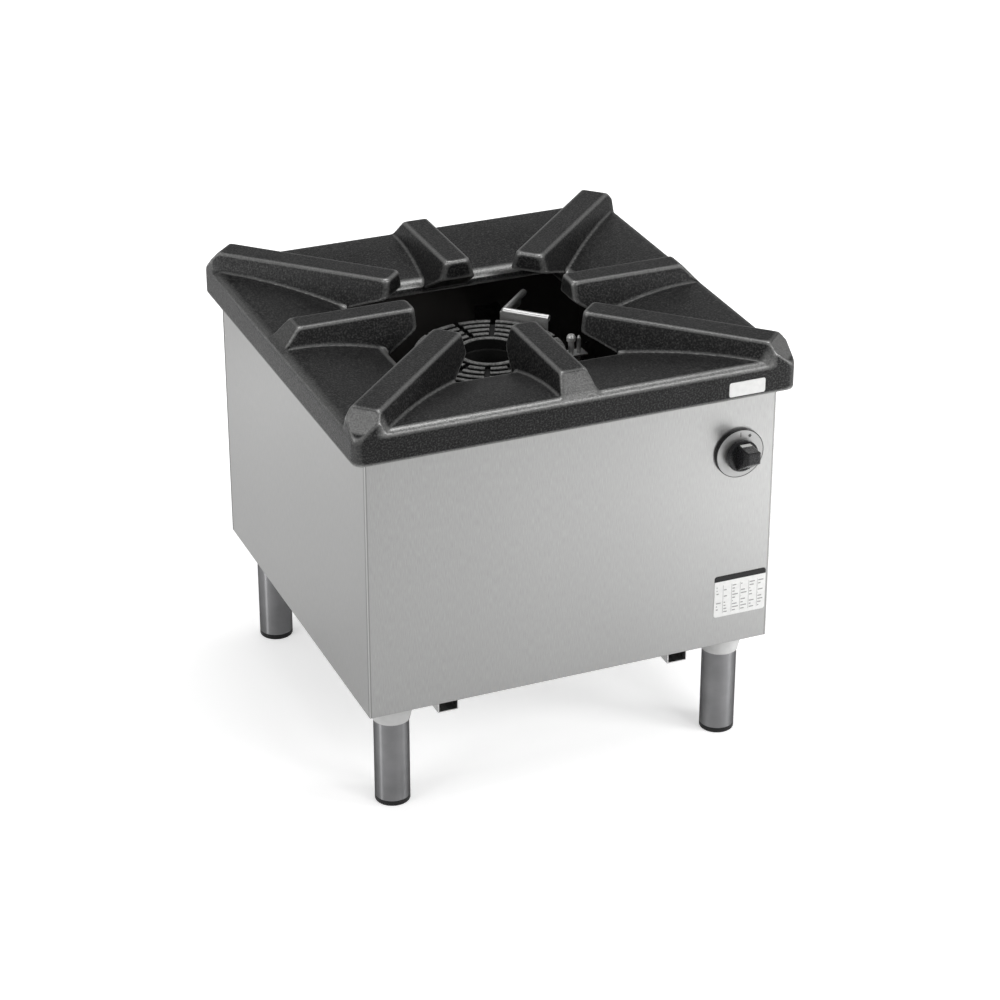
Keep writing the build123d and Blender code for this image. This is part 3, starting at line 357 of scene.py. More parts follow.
def soft_casting(node, skin_size, passes, most_triangles):
    """A node's shape with the rounded edges and filled corners of cast iron."""
    piece = bpy.data.objects.new(f"{node}_casting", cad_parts[node].data.copy())
    bpy.context.scene.collection.objects.link(piece)
    shape = bmesh.new()
    shape.from_mesh(piece.data)
    bmesh.ops.remove_doubles(shape, verts=shape.verts, dist=MERGE)
    shape.to_mesh(piece.data)
    shape.free()
    skin = piece.modifiers.new("skin", "REMESH")
    skin.mode = "VOXEL"
    skin.voxel_size = skin_size
    soften = piece.modifiers.new("soften", "SMOOTH")
    soften.factor = 0.5
    soften.iterations = passes
    mesh = plain_mesh(piece)
    mark_edges(mesh)
    thin = piece.modifiers.new("thin", "DECIMATE")
    thin.ratio = min(1.0, most_triangles / (2 * len(mesh.polygons)))
    mesh = plain_mesh(piece)
    mesh.shade_smooth()
    mesh.materials.clear()
    return piece


def stored_bend(tree):
    """The bend that mark_edges stored, or 0 on a piece without it."""
    stored = tree.nodes.new("ShaderNodeAttribute")
    stored.attribute_name = "edge"
    return stored.outputs["Fac"]


burner_iron, tree, shader = new_finish("burner_iron", {
    "Metallic": 0.2,
    "Roughness": 0.6,
    "Specular IOR Level": 0.3,
})
fire_scale = between(tree, grain(tree, scale=45, detail=6), 0.35, 0.7)
worn = between(tree, stored_bend(tree), 80, 400, 0, 0.7)
tint(
    tree, shader, (0.006, 0.006, 0.006),
    (fire_scale, (0.014, 0.0137, 0.013)),
    (worn, (0.07, 0.07, 0.068)),
)
raise_grain(tree, shader, grain(tree, scale=700, detail=5), depth=0.0008, strength=0.35)
bowl = soft_casting("burner_bowl", skin_size=0.0022, passes=4, most_triangles=120000)
bowl.data.materials.append(burner_iron)
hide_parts("burner_bowl")
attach(bowl, "body")


# Burner crown: the loose iron cap whose rows of arc teeth make the flame ports.
# It drops onto the bowl, where a lip under it keeps it centred. The tops of the
# teeth are painted pale and everything below them near black: partly bare iron
# and soot, partly a painted highlight on the tops and painted shade below them.
CROWN_TOP = 0.536
CROWN_PLATE = 0.528
CROWN_UNDER = 0.520
CROWN_RADIUS = 0.108
CROWN_BORE = 0.042
CROWN_STEPS = 96
COLLAR_RADIUS = 0.049
COLLAR_EASE = 0.0012
RIM_EASE = 0.0008
LIP_INSIDE, LIP_OUTSIDE = 0.0937, 0.0977
LIP_DROP = 0.004
TOOTH_ROWS = 4


def join_loops(shape, loops):
    """Skin each loop of points to the one that follows it."""
    for loop, following in zip(loops, loops[1:]):
        for point in range(len(loop)):
            after = (point + 1) % len(loop)
            shape.faces.new((loop[point], loop[after], following[after], following[point]))


def new_piece(name, shape, finish=None):
    """An object from a closed shape, with its faces outwards and its finish if it has one."""
    bmesh.ops.recalc_face_normals(shape, faces=shape.faces)
    mesh = bpy.data.meshes.new(name)
    shape.to_mesh(mesh)
    shape.free()
    if finish:
        mesh.materials.append(finish)
    piece = bpy.data.objects.new(name, mesh)
    bpy.context.scene.collection.objects.link(piece)
    return piece


def lathe(name, profile, steps):
    """A closed piece turned about Z from a closed (radius, height) outline."""
    shape = bmesh.new()
    rings = []
    for step in range(steps):
        angle = 2 * math.pi * step / steps
        rings.append([
            shape.verts.new((radius * math.cos(angle), radius * math.sin(angle), height))
            for radius, height in profile
        ])
    join_loops(shape, [*rings, rings[0]])
    return new_piece(name, shape)


def node_tree_with(name, sizes):
    """A geometry tree with a shape in, a shape out and named sizes."""
    tree = bpy.data.node_groups.new(name, "GeometryNodeTree")
    tree.interface.new_socket("Geometry", in_out="INPUT", socket_type="NodeSocketGeometry")
    tree.interface.new_socket("Geometry", in_out="OUTPUT", socket_type="NodeSocketGeometry")
    for size, kind in sizes.items():
        tree.interface.new_socket(size, in_out="INPUT", socket_type=kind)
    given = tree.nodes.new("NodeGroupInput")
    result = tree.nodes.new("NodeGroupOutput")
    return tree, given.outputs, result.inputs


def end_tree(tree, shape, finish, result):
    """Make the repeats of a tree real, give them their finish and hand them out."""
    whole = tree.nodes.new("GeometryNodeRealizeInstances")
    tree.links.new(shape, whole.inputs["Geometry"])
    coat = tree.nodes.new("GeometryNodeSetMaterial")
    coat.inputs["Material"].default_value = finish
    tree.links.new(whole.outputs["Geometry"], coat.inputs["Geometry"])
    tree.links.new(coat.outputs["Geometry"], result["Geometry"])


def grow(piece, tree, sizes):
    """Run a geometry tree on a piece with the given sizes and keep the plain mesh."""
    growth = piece.modifiers.new("growth", "NODES")
    growth.node_group = tree
    for socket in tree.interface.items_tree:
        if socket.in_out == "INPUT" and socket.name in sizes:
            growth[socket.identifier] = sizes[socket.name]
    return plain_mesh(piece)


crown_iron, tree, shader = new_finish("crown_iron", {
    "Metallic": 0.2,
    "Roughness": 0.55,
    "Specular IOR Level": 0.3,
})
at_top = between(tree, spot_on(tree)["Z"], CROWN_TOP - 0.0024, CROWN_TOP - 0.0008)
fire_scale = grain(tree, scale=320, detail=5)
# Pale tops and near-black below: partly bare iron and soot, partly painted highlight and painted
# shade.
tops_bare_and_highlit = sum_up(tree, "MULTIPLY", at_top, between(tree, fire_scale, 0.32, 0.62, 0.3, 1.0))
tint(tree, shader, (0.006, 0.006, 0.006), (tops_bare_and_highlit, (0.2, 0.2, 0.196)))
raise_grain(tree, shader, fire_scale, depth=0.0006, strength=0.35)

tree, given, result = node_tree_with("crown_teeth", {
    "First row": "NodeSocketFloat",
    "Row pitch": "NodeSocketFloat",
    "Tooth width": "NodeSocketFloat",
    "Tooth height": "NodeSocketFloat",
    "Edge round": "NodeSocketFloat",
    "Slots": "NodeSocketInt",
    "Slot width": "NodeSocketFloat",
    "First slot": "NodeSocketFloat",
    "Plate height": "NodeSocketFloat",
})
section = tree.nodes.new("GeometryNodeCurvePrimitiveQuadrilateral")
tree.links.new(given["Tooth width"], section.inputs["Width"])
tree.links.new(given["Tooth height"], section.inputs["Height"])
rounded = tree.nodes.new("GeometryNodeFilletCurve")
rounded.mode = "POLY"
rounded.inputs["Count"].default_value = 3
tree.links.new(section.outputs["Curve"], rounded.inputs["Curve"])
tree.links.new(given["Edge round"], rounded.inputs["Radius"])
slots = tree.nodes.new("GeometryNodePoints")
tree.links.new(given["Slots"], slots.inputs["Count"])
index = tree.nodes.new("GeometryNodeInputIndex")
step = sum_up(tree, "DIVIDE", 2 * math.pi, given["Slots"])
turn = sum_up(tree, "MULTIPLY", index.outputs[0], step)
turn = sum_up(tree, "ADD", turn, given["First slot"])
facing = tree.nodes.new("ShaderNodeCombineXYZ")
tree.links.new(turn, facing.inputs["Z"])
half_tooth = sum_up(tree, "MULTIPLY", given["Tooth height"], 0.5)
rise = tree.nodes.new("ShaderNodeCombineXYZ")
tree.links.new(sum_up(tree, "ADD", given["Plate height"], half_tooth), rise.inputs["Z"])
joined = tree.nodes.new("GeometryNodeJoinGeometry")
tree.links.new(given["Geometry"], joined.inputs["Geometry"])
for row in range(TOOTH_ROWS):
    outwards = sum_up(tree, "MULTIPLY", given["Row pitch"], row)
    radius = sum_up(tree, "ADD", given["First row"], outwards)
    gap = sum_up(tree, "DIVIDE", given["Slot width"], radius)
    arc = tree.nodes.new("GeometryNodeCurveArc")
    arc.inputs["Resolution"].default_value = 12
    tree.links.new(radius, arc.inputs["Radius"])
    tree.links.new(sum_up(tree, "MULTIPLY", gap, 0.5), arc.inputs["Start Angle"])
    tree.links.new(sum_up(tree, "SUBTRACT", step, gap), arc.inputs["Sweep Angle"])
    tooth = tree.nodes.new("GeometryNodeCurveToMesh")
    tooth.inputs["Fill Caps"].default_value = True
    tree.links.new(arc.outputs["Curve"], tooth.inputs["Curve"])
    tree.links.new(rounded.outputs["Curve"], tooth.inputs["Profile Curve"])
    ring = tree.nodes.new("GeometryNodeInstanceOnPoints")
    tree.links.new(slots.outputs["Points"], ring.inputs["Points"])
    tree.links.new(tooth.outputs["Mesh"], ring.inputs["Instance"])
    tree.links.new(facing.outputs["Vector"], ring.inputs["Rotation"])
    lift = tree.nodes.new("GeometryNodeTranslateInstances")
    lift.inputs["Local Space"].default_value = False
    tree.links.new(ring.outputs["Instances"], lift.inputs["Instances"])
    tree.links.new(rise.outputs["Vector"], lift.inputs["Translation"])
    tree.links.new(lift.outputs["Instances"], joined.inputs["Geometry"])
end_tree(tree, joined.outputs["Geometry"], crown_iron, result)

crown = lathe("burner_crown_casting", [
    (CROWN_BORE, CROWN_UNDER),
    (LIP_INSIDE, CROWN_UNDER),
    (LIP_INSIDE, CROWN_UNDER - LIP_DROP),
    (LIP_OUTSIDE, CROWN_UNDER - LIP_DROP),
    (LIP_OUTSIDE, CROWN_UNDER),
    (CROWN_RADIUS - RIM_EASE, CROWN_UNDER),
    (CROWN_RADIUS, CROWN_UNDER + RIM_EASE),
    (CROWN_RADIUS, CROWN_PLATE),
    (COLLAR_RADIUS + 0.0015, CROWN_PLATE),
    (COLLAR_RADIUS + 0.0005, CROWN_PLATE + 0.001),
    (COLLAR_RADIUS, CROWN_TOP - COLLAR_EASE),
    (COLLAR_RADIUS - COLLAR_EASE, CROWN_TOP),
    (CROWN_BORE + COLLAR_EASE, CROWN_TOP),
    (CROWN_BORE, CROWN_TOP - COLLAR_EASE),
], CROWN_STEPS)
grow(crown, tree, {
    "First row": 0.06025,
    "Row pitch": 0.01475,
    "Tooth width": 0.007,
    "Tooth height": 0.008,
    "Edge round": 0.0012,
    "Slots": 12,
    "Slot width": 0.008,
    "First slot": math.radians(5),
    "Plate height": CROWN_PLATE,
})
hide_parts("burner_crown")
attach(crown, "burner_crown")


# Mixer tube, air shutter, injector and its elbow: gas and air meet here on the
# way to the bowl. The tube is cast iron, the shutter is sheet steel, and the
# injector and elbow are turned brass, as are the gas tap and the nuts.
dress(burner_iron, "mixer_tube")
# The shutter shares the rails' finish, painted dark as painted shade.
dress(rail_zinc, "air_shutter")
brass, tree, shader = new_finish("brass", {"Metallic": 1})
tarnish = grain(tree, scale=90, detail=5)
darker = between(tree, tarnish, 0.35, 0.7)
tint(tree, shader, (0.72, 0.52, 0.23), (darker, (0.58, 0.4, 0.17)))
vary_gloss(tree, shader, tarnish, smooth=0.28, rough=0.4)
raise_grain(tree, shader, grain(tree, scale=1400), depth=0.0002, strength=0.1)
dress(brass, "injector", "injector_holder", "tap_body", "tap_nut", "inlet_locknut", "pipe_nuts")


# Gas lines: bent steel tube for the supply, soft alloy tube for the burner feed
# and thin copper for the pilot and the thermocouple. The tap's spindle and push
# rod are of the same steel as the supply.
supply_steel, tree, shader = new_finish("supply_steel", {"Metallic": 1, "Roughness": 0.4})
drawn = between(tree, grain(tree, scale=300, detail=4), 0.35, 0.7)
tint(tree, shader, (0.24, 0.24, 0.25), (drawn, (0.36, 0.36, 0.365)))
dress(supply_steel, "supply_pipe", "tap_spindle", "tap_plunger")

feed_alloy, tree, shader = new_finish("feed_alloy", {"Metallic": 1, "Roughness": 0.34})
drawn = between(tree, grain(tree, scale=240, detail=4), 0.35, 0.7)
tint(tree, shader, (0.62, 0.62, 0.63), (drawn, (0.76, 0.76, 0.77)))
dress(feed_alloy, "feed_pipe")

copper, tree, shader = new_finish("copper", {"Metallic": 1, "Roughness": 0.3})
tarnish = between(tree, grain(tree, scale=70, detail=5), 0.35, 0.7)
tint(tree, shader, (0.76, 0.4, 0.26), (tarnish, (0.5, 0.23, 0.13)))
dress(copper, "pilot_tube", "thermocouple_lead")


# Gas inlet: a brass stub with a hexagon inside the back panel and a half-inch
# pipe thread outside it, cut on a lathe and tapered off at its mouth.
INLET_X, INLET_Z = 0.245, 0.225
INLET_STEPS = 48
INLET_BORE = 0.007
INLET_MOUTH = 0.3482
MOUTH_RADIUS = 0.0094
MOUTH_EASE = 0.0006
HEXAGON_START, HEXAGON_END = 0.2845, 0.2985
HEXAGON_FLATS, HEXAGON_CORNERS = 0.014, 0.0158
HEXAGON_EASE = 0.0008
GROOVE_START, GROOVE_END = 0.309, 0.311
GROOVE_RADIUS = 0.0095
THREAD_START, THREAD_END = 0.3112, 0.3472
THREAD_RADIUS = 0.01048
THREAD_DEPTH = 0.00116
THREAD_PITCH = 0.001814
RINGS_PER_TURN = 8


def turned_rings(*profile):
    """Round rings from (depth along the stub, radius) pairs."""
    return [(along, [radius] * INLET_STEPS) for along, radius in profile]


def thread_rings():
    """Rings of the threaded length, whose radius winds in and out with the thread."""
    rings = []
    count = int((THREAD_END - THREAD_START) / THREAD_PITCH * RINGS_PER_TURN)
    for ring in range(count + 1):
        along = THREAD_START + (THREAD_END - THREAD_START) * ring / count
        turns = (along - THREAD_START) / THREAD_PITCH
        turns_left = (THREAD_END - along) / THREAD_PITCH
        fade = max(min(1.0, turns, turns_left), 0)
        radii = []
        for step in range(INLET_STEPS):
            phase = (turns + step / INLET_STEPS) % 1.0
            groove = 1 - abs(2 * phase - 1)
            radii.append(THREAD_RADIUS - THREAD_DEPTH * fade * groove)
        rings.append((along, radii))
    return rings


def inlet_shape():
    """The stub from its hexagon to its mouth and back down the bore, as one closed skin."""
    hexagon = []
    for step in range(INLET_STEPS):
        turn = 2 * math.pi * step / INLET_STEPS
        side = (turn + math.pi / 6) % (math.pi / 3) - math.pi / 6
        hexagon.append(min(HEXAGON_FLATS / math.cos(side), HEXAGON_CORNERS))
    eased = [radius - HEXAGON_EASE for radius in hexagon]
    rings = [
        (HEXAGON_START, eased),
        (HEXAGON_START + HEXAGON_EASE, hexagon),
        (HEXAGON_END - HEXAGON_EASE, hexagon),
        (HEXAGON_END, eased),
    ]
    rings += turned_rings(
        (HEXAGON_END, THREAD_RADIUS),
        (GROOVE_START, THREAD_RADIUS),
        (GROOVE_START, GROOVE_RADIUS),
        (GROOVE_END, GROOVE_RADIUS),
    )
    rings += thread_rings()
    rings += turned_rings(
        (INLET_MOUTH, MOUTH_RADIUS),
        (INLET_MOUTH, INLET_BORE + MOUTH_EASE),
        (INLET_MOUTH - MOUTH_EASE, INLET_BORE),
        (HEXAGON_START, INLET_BORE),
    )
    shape = bmesh.new()
    loops = []
    for along, radii in rings:
        loop = []
        for step, radius in enumerate(radii):
            turn = 2 * math.pi * step / INLET_STEPS
            x = INLET_X + radius * math.cos(turn)
            z = INLET_Z + radius * math.sin(turn)
            loop.append(shape.verts.new((x, along, z)))
        loops.append(loop)
    join_loops(shape, [*loops, loops[0]])
    return shape


inlet = new_piece("inlet_stub", inlet_shape(), brass)
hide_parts("inlet_connector")
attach(inlet, "body")


# Pilot burner, thermocouple, bracket and guard: the small flame beside the crown.
# The guard is bright bent sheet that keeps spills off the pilot, whose own body
# is plated with nickel.
guard_steel, tree, shader = new_finish("guard_steel", {"Metallic": 0.84})
polish = grain(tree, scale=700, stretch=(0.03, 1, 1), detail=3)
paler = between(tree, polish, 0.3, 0.7)
tint(tree, shader, (0.6, 0.6, 0.596), (paler, (0.74, 0.74, 0.735)))
vary_gloss(tree, shader, polish, smooth=0.34, rough=0.46)
dress(guard_steel, "pilot_guard", "pilot_bracket", "thermocouple", "small_screws")

pilot_nickel, tree, shader = new_finish("pilot_nickel", {"Metallic": 0.5})
plating = grain(tree, scale=500, detail=4)
darker = between(tree, plating, 0.35, 0.7)
tint(tree, shader, (0.84, 0.84, 0.83), (darker, (0.7, 0.7, 0.69)))
vary_gloss(tree, shader, plating, smooth=0.26, rough=0.38)
dress(pilot_nickel, "pilot_burner")


# Dial: a shallow black bezel with a pale spun disc let into its face. The marks are
# printed: a line at the top, a star for the pilot and a short line for low flame.
DIAL_X, DIAL_Z = 0.245, 0.465
DIAL_FACE = -0.3052
INK_THICKNESS = 0.0001
MARK_RADIUS = 0.0286
PILOT_TURN = 29
LOW_FLAME_TURN = 150
STAR_POINTS = 6
STAR_TIP, STAR_NOTCH = 0.0031, 0.0019
dress(foot_nylon, "dial_base")
dial_alloy, tree, shader = new_finish("dial_alloy", {"Metallic": 0.6})
place = tree.nodes.new("ShaderNodeTexCoord")
centred = tree.nodes.new("ShaderNodeMapping")
centred.inputs["Location"].default_value = (-DIAL_X, 0, -DIAL_Z)
tree.links.new(place.outputs["Object"], centred.inputs["Vector"])
on_face = vector_step(tree, "MULTIPLY", centred.outputs["Vector"], (1, 0, 1))
spun = tree.nodes.new("ShaderNodeTexNoise")
spun.noise_dimensions = "1D"
spun.inputs["Scale"].default_value = 2600
spun.inputs["Detail"].default_value = 3
tree.links.new(vector_step(tree, "LENGTH", on_face), spun.inputs["W"])
paler = between(tree, spun.outputs["Fac"], 0.3, 0.7)
tint(tree, shader, (0.32, 0.32, 0.318), (paler, (0.41, 0.41, 0.407)))
vary_gloss(tree, shader, spun.outputs["Fac"], smooth=0.3, rough=0.44)
dress(dial_alloy, "dial_plate")


def straight_mark(half_foot, half_tip, foot, tip):
    """Corners of a straight mark, from its inner end to its outer one."""
    return [(-half_foot, foot), (half_foot, foot), (half_tip, tip), (-half_tip, tip)]


def star_mark():
    """Corners of a small star."""
    corners = []
    for number in range(2 * STAR_POINTS):
        reach = STAR_TIP if number % 2 == 0 else STAR_NOTCH
        turn = math.pi * number / STAR_POINTS
        corners.append((reach * math.sin(turn), reach * math.cos(turn)))
    return corners


def mark_at(shape, clockwise, outline):
    """Lay a small printed outline on the dial, turned clockwise from the top."""
    turn = math.radians(clockwise)
    corners = []
    for across, out in outline:
        x = across * math.cos(turn) + (MARK_RADIUS + out) * math.sin(turn)
        z = -across * math.sin(turn) + (MARK_RADIUS + out) * math.cos(turn)
        corners.append((DIAL_X + x, DIAL_Z + z))
    low = [shape.verts.new((x, DIAL_FACE, z)) for x, z in corners]
    high = [shape.verts.new((x, DIAL_FACE - INK_THICKNESS, z)) for x, z in corners]
    shape.faces.new(high)
    shape.faces.new(low[::-1])
    join_loops(shape, [high, low])


dial_ink, tree, shader = new_finish("dial_ink", {"Base Color": (0.02, 0.02, 0.02, 1)})
vary_gloss(tree, shader, grain(tree, scale=2400), smooth=0.42, rough=0.58)
shape = bmesh.new()
mark_at(shape, 0, straight_mark(0.0005, 0.0005, -0.0035, 0.0035))
mark_at(shape, PILOT_TURN, star_mark())
mark_at(shape, LOW_FLAME_TURN, straight_mark(0.0012, 0.0005, -0.002, 0.0024))
marks = new_piece("dial_marks", shape, dial_ink)
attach(marks, "body")


# Knob: a glossy black moulding with a wedge grip. It pushes onto the spindle,
# and a white patch on the grip's top shows which mark it points at.
knob_black, tree, shader = new_finish("knob_black", {
    "Base Color": (0.01, 0.01, 0.011, 1),
    "Specular IOR Level": 0.32,
})
skin = grain(tree, scale=500, detail=3)
raise_grain(tree, shader, skin, depth=0.0003, strength=0.08)
vary_gloss(tree, shader, skin, smooth=0.2, rough=0.32)
dress(knob_black, "control_knob")

mark_white, tree, shader = new_finish("mark_white", {"Roughness": 0.4})
rubbed = between(tree, grain(tree, scale=600, detail=3), 0.4, 0.7)
tint(tree, shader, (0.85, 0.85, 0.83), (rubbed, (0.74, 0.74, 0.72)))
dress(mark_white, "knob_pointer")


# Cast top: one heavy sand casting in black heat-proof coat, with a skirt that
# sits over the cabinet, a dished plate and eight pan ribs. It lifts off.
def rim_highlights(tree):
    """Painted highlight on the front top edge, fullest at the front, and on the lip of the opening.
    """
    spot = spot_on(tree)
    slope = spot_on(tree, "Normal")
    across = sum_up(tree, "ABSOLUTE", spot["X"])
    along = sum_up(tree, "ABSOLUTE", spot["Y"])
    reach = sum_up(tree, "MAXIMUM", across, along)
    from_corner = sum_up(tree, "ABSOLUTE", sum_up(tree, "SUBTRACT", across, along))
    far_out = between(tree, reach, 0.307, 0.313)
    at_top = between(tree, spot["Z"], 0.591, 0.597)
    off_corner = between(tree, from_corner, 0.03, 0.045)
    in_front = between(tree, spot["Y"], -0.29, -0.3, 0.15, 1.0)
    edge = sum_up(tree, "MULTIPLY", far_out, at_top, off_corner, in_front)
    by_opening = between(tree, reach, 0.182, 0.174)
    above_wall = between(tree, spot["Z"], 0.568, 0.573)
    below_ribs = between(tree, spot["Z"], 0.588, 0.584)
    facing_up = between(tree, slope["Z"], 0.34, 0.42)
    lip = sum_up(tree, "MULTIPLY", by_opening, above_wall, below_ribs, facing_up)
    return sum_up(tree, "MAXIMUM", edge, lip)


def outer_ends(tree):
    """Painted highlight on the slanted outer ends of the ribs, full where they face the front and
    less on the others.
    """
    place = tree.nodes.new("ShaderNodeTexCoord").outputs
    slope = spot_on(tree, "Normal")
    from_middle = vector_step(tree, "MULTIPLY", place["Object"], LEVEL)
    away = vector_step(tree, "NORMALIZE", from_middle)
    outward = between(tree, vector_step(tree, "DOT_PRODUCT", away, place["Normal"]), 0.6, 0.7)
    slanted = between(tree, slope["Z"], 0.45, 0.55)
    high = between(tree, spot_on(tree)["Z"], 0.600, 0.603)
    in_front = between(tree, slope["Y"], -0.1, -0.4, 0.3, 1.0)
    return sum_up(tree, "MULTIPLY", outward, slanted, high, in_front)


cast_black, tree, shader = new_finish("cast_black", {"Specular IOR Level": 0.16})
sand = grain(tree, scale=420, detail=4)
fine = grain(tree, scale=400, detail=3)
cloud = between(tree, grain(tree, scale=12, detail=4), 0.35, 0.7)
speck = between(tree, fine, 0.46, 0.72)
bend = stored_bend(tree)
# Pale metallic lines on the bends: on convex edges partly rubbed wear and partly painted highlight,
# in the concave fillets painted highlight.
rubbed = between(tree, bend, 28, 130, 0, 0.9)
fillet_highlight = between(tree, bend, -45, -150, 0, 0.65)
# Painted highlight on the rib ends that face the front.
ends = sum_up(tree, "MULTIPLY", outer_ends(tree), 0.55)
# Painted highlight along the front top edge and the lip of the opening.
rims = sum_up(tree, "MULTIPLY", rim_highlights(tree), 0.8)
# Wear and painted highlight together turn the coat pale and metallic.
worn_and_highlit = sum_up(tree, "MAXIMUM", rubbed, fillet_highlight, ends, rims)
worn_and_highlit = sum_up(tree, "MULTIPLY", worn_and_highlit, between(tree, sand, 0.3, 0.6, 0.6, 1.0))
tint(
    tree, shader, (0.005, 0.005, 0.0053),
    (cloud, (0.011, 0.011, 0.0114)),
    (speck, (0.056, 0.056, 0.0548)),
    (worn_and_highlit, (0.34, 0.34, 0.335)),
)
tree.links.new(worn_and_highlit, shader.inputs["Metallic"])
vary_gloss(tree, shader, sand, smooth=0.28, rough=0.44)
relief = raise_grain(tree, shader, sand, depth=0.001, strength=0.45)
raise_grain(tree, shader, fine, depth=0.0006, strength=0.4, under=relief)
top = soft_casting("cast_top", skin_size=0.0018, passes=12, most_triangles=190000)
top.data.materials.append(cast_black)
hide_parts("cast_top")
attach(top, "cast_top")


# Plates: two thin white plates with round corners, stuck on. The one on the skirt
# is bare, and the one on the front has a printed dark heading and ruled rows.
PLATE_EASE = 0.00025
CORNER_STEPS = 6
RULED_ROWS, RULED_COLUMNS = 13, 6


def rounded_plate(node, corner, finish):
    """A thin plate that fills a node's box, with round corners and an eased front edge."""
    low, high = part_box(node)
    outline = []
    for number, (across, up) in enumerate(((1, 1), (-1, 1), (-1, -1), (1, -1))):
        centre_x = (high[0] if across > 0 else low[0]) - across * corner
        centre_z = (high[2] if up > 0 else low[2]) - up * corner
        for step in range(CORNER_STEPS + 1):
            turn = math.pi / 2 * (number + step / CORNER_STEPS)
            outline.append((centre_x, centre_z, math.cos(turn), math.sin(turn)))
    shape = bmesh.new()
    loops = []
    for front, reach in (
        (high[1], corner),
        (low[1] + PLATE_EASE, corner),
        (low[1], corner - PLATE_EASE),
    ):
        loops.append([
            shape.verts.new((x + reach * right, front, z + reach * rise))
            for x, z, right, rise in outline
        ])
    shape.faces.new(loops[0])
    shape.faces.new(loops[-1])
    join_loops(shape, loops)
    return new_piece(f"{node}_printed", shape, finish)


def band(tree, value, low, high):
    """1 where a value lies between two limits, else 0."""
    above = sum_up(tree, "GREATER_THAN", value, low)
    below = sum_up(tree, "LESS_THAN", value, high)
    return sum_up(tree, "MULTIPLY", above, below)


plate_white, tree, shader = new_finish("plate_white", {})
handling = grain(tree, scale=160, detail=4)
greyer = between(tree, handling, 0.35, 0.7)
tint(tree, shader, (0.74, 0.74, 0.731), (greyer, (0.68, 0.68, 0.671)))
vary_gloss(tree, shader, handling, smooth=0.3, rough=0.44)
skirt_plate = rounded_plate("name_plate", 0.003, plate_white)
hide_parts("name_plate")
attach(skirt_plate, "cast_top")

plate_ruled, tree, shader = new_finish("plate_ruled", {"Specular IOR Level": 0.2})
low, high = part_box("rating_plate")
spot = spot_on(tree)
across = between(tree, spot["X"], low[0], high[0])
up = between(tree, spot["Z"], low[2], high[2])
rows_up = sum_up(tree, "MULTIPLY", up, RULED_ROWS)
columns_across = sum_up(tree, "MULTIPLY", across, RULED_COLUMNS)
row = sum_up(tree, "FRACT", rows_up)
column = sum_up(tree, "FRACT", columns_across)
cell = tree.nodes.new("ShaderNodeCombineXYZ")
tree.links.new(sum_up(tree, "FLOOR", columns_across), cell.inputs["X"])
tree.links.new(sum_up(tree, "FLOOR", rows_up), cell.inputs["Y"])
chance = tree.nodes.new("ShaderNodeTexWhiteNoise")
chance.noise_dimensions = "2D"
tree.links.new(cell.outputs["Vector"], chance.inputs["Vector"])
dash_end = between(tree, chance.outputs["Value"], 0.1, 1, 0.1, 0.85)
dash = sum_up(tree, "MULTIPLY", band(tree, column, 0.12, dash_end), band(tree, row, 0.28, 0.66))
column_rule = sum_up(tree, "LESS_THAN", column, 0.05)
ruled = sum_up(tree, "MAXIMUM", dash, column_rule)
field = sum_up(tree, "MULTIPLY", band(tree, up, 0.08, 0.77), band(tree, across, 0.04, 0.96))
printed_rows = sum_up(tree, "MULTIPLY", ruled, field)
heading = sum_up(tree, "GREATER_THAN", up, 0.87)
handling = grain(tree, scale=160, detail=4)
tint(
    tree, shader, (0.72, 0.72, 0.712),
    (between(tree, handling, 0.35, 0.7), (0.66, 0.66, 0.652)),
    (printed_rows, (0.3, 0.3, 0.296)),
    (heading, (0.016, 0.016, 0.016)),
)
vary_gloss(tree, shader, handling, smooth=0.3, rough=0.44)
data_plate = rounded_plate("rating_plate", 0.004, plate_ruled)
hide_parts("rating_plate")
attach(data_plate, "body")


# Back screws: six zinc-plated pan-head screws with cross slots that hold the back
# panel to the flanges of the sides, three up each edge.
AXIS = 0.00001
HEAD_STEPS = 32
CROSS_LENGTH, CROSS_WIDTH, CROSS_HEIGHT = 1.15, 0.24, 1.1


def pan_head(name, radius, height):
    """A domed screw head that looks along +Y, with a cross sunk in it."""
    dome = ((1, 0), (1, 0.35), (0.92, 0.7), (0.7, 0.92), (0.4, 1))
    outline = [(radius * wide, height * tall) for wide, tall in dome]
    head = lathe(name, [(AXIS, 0), *outline, (AXIS, height)], HEAD_STEPS)
    slots = bmesh.new()
    for wide, deep in ((CROSS_LENGTH, CROSS_WIDTH), (CROSS_WIDTH, CROSS_LENGTH)):
        size = Vector((radius * wide, radius * deep, height * CROSS_HEIGHT))
        place = Matrix.LocRotScale(Vector((0, 0, height)), None, size)
        bmesh.ops.create_cube(slots, size=1, matrix=place)
    cutter = new_piece("cross", slots)
    cut = head.modifiers.new("cross", "BOOLEAN")
    cut.object = cutter
    cut.use_self = True
    mesh = plain_mesh(head)
    mesh.transform(Matrix.Rotation(-math.pi / 2, 4, "X"))
    bpy.data.objects.remove(cutter)
    return head


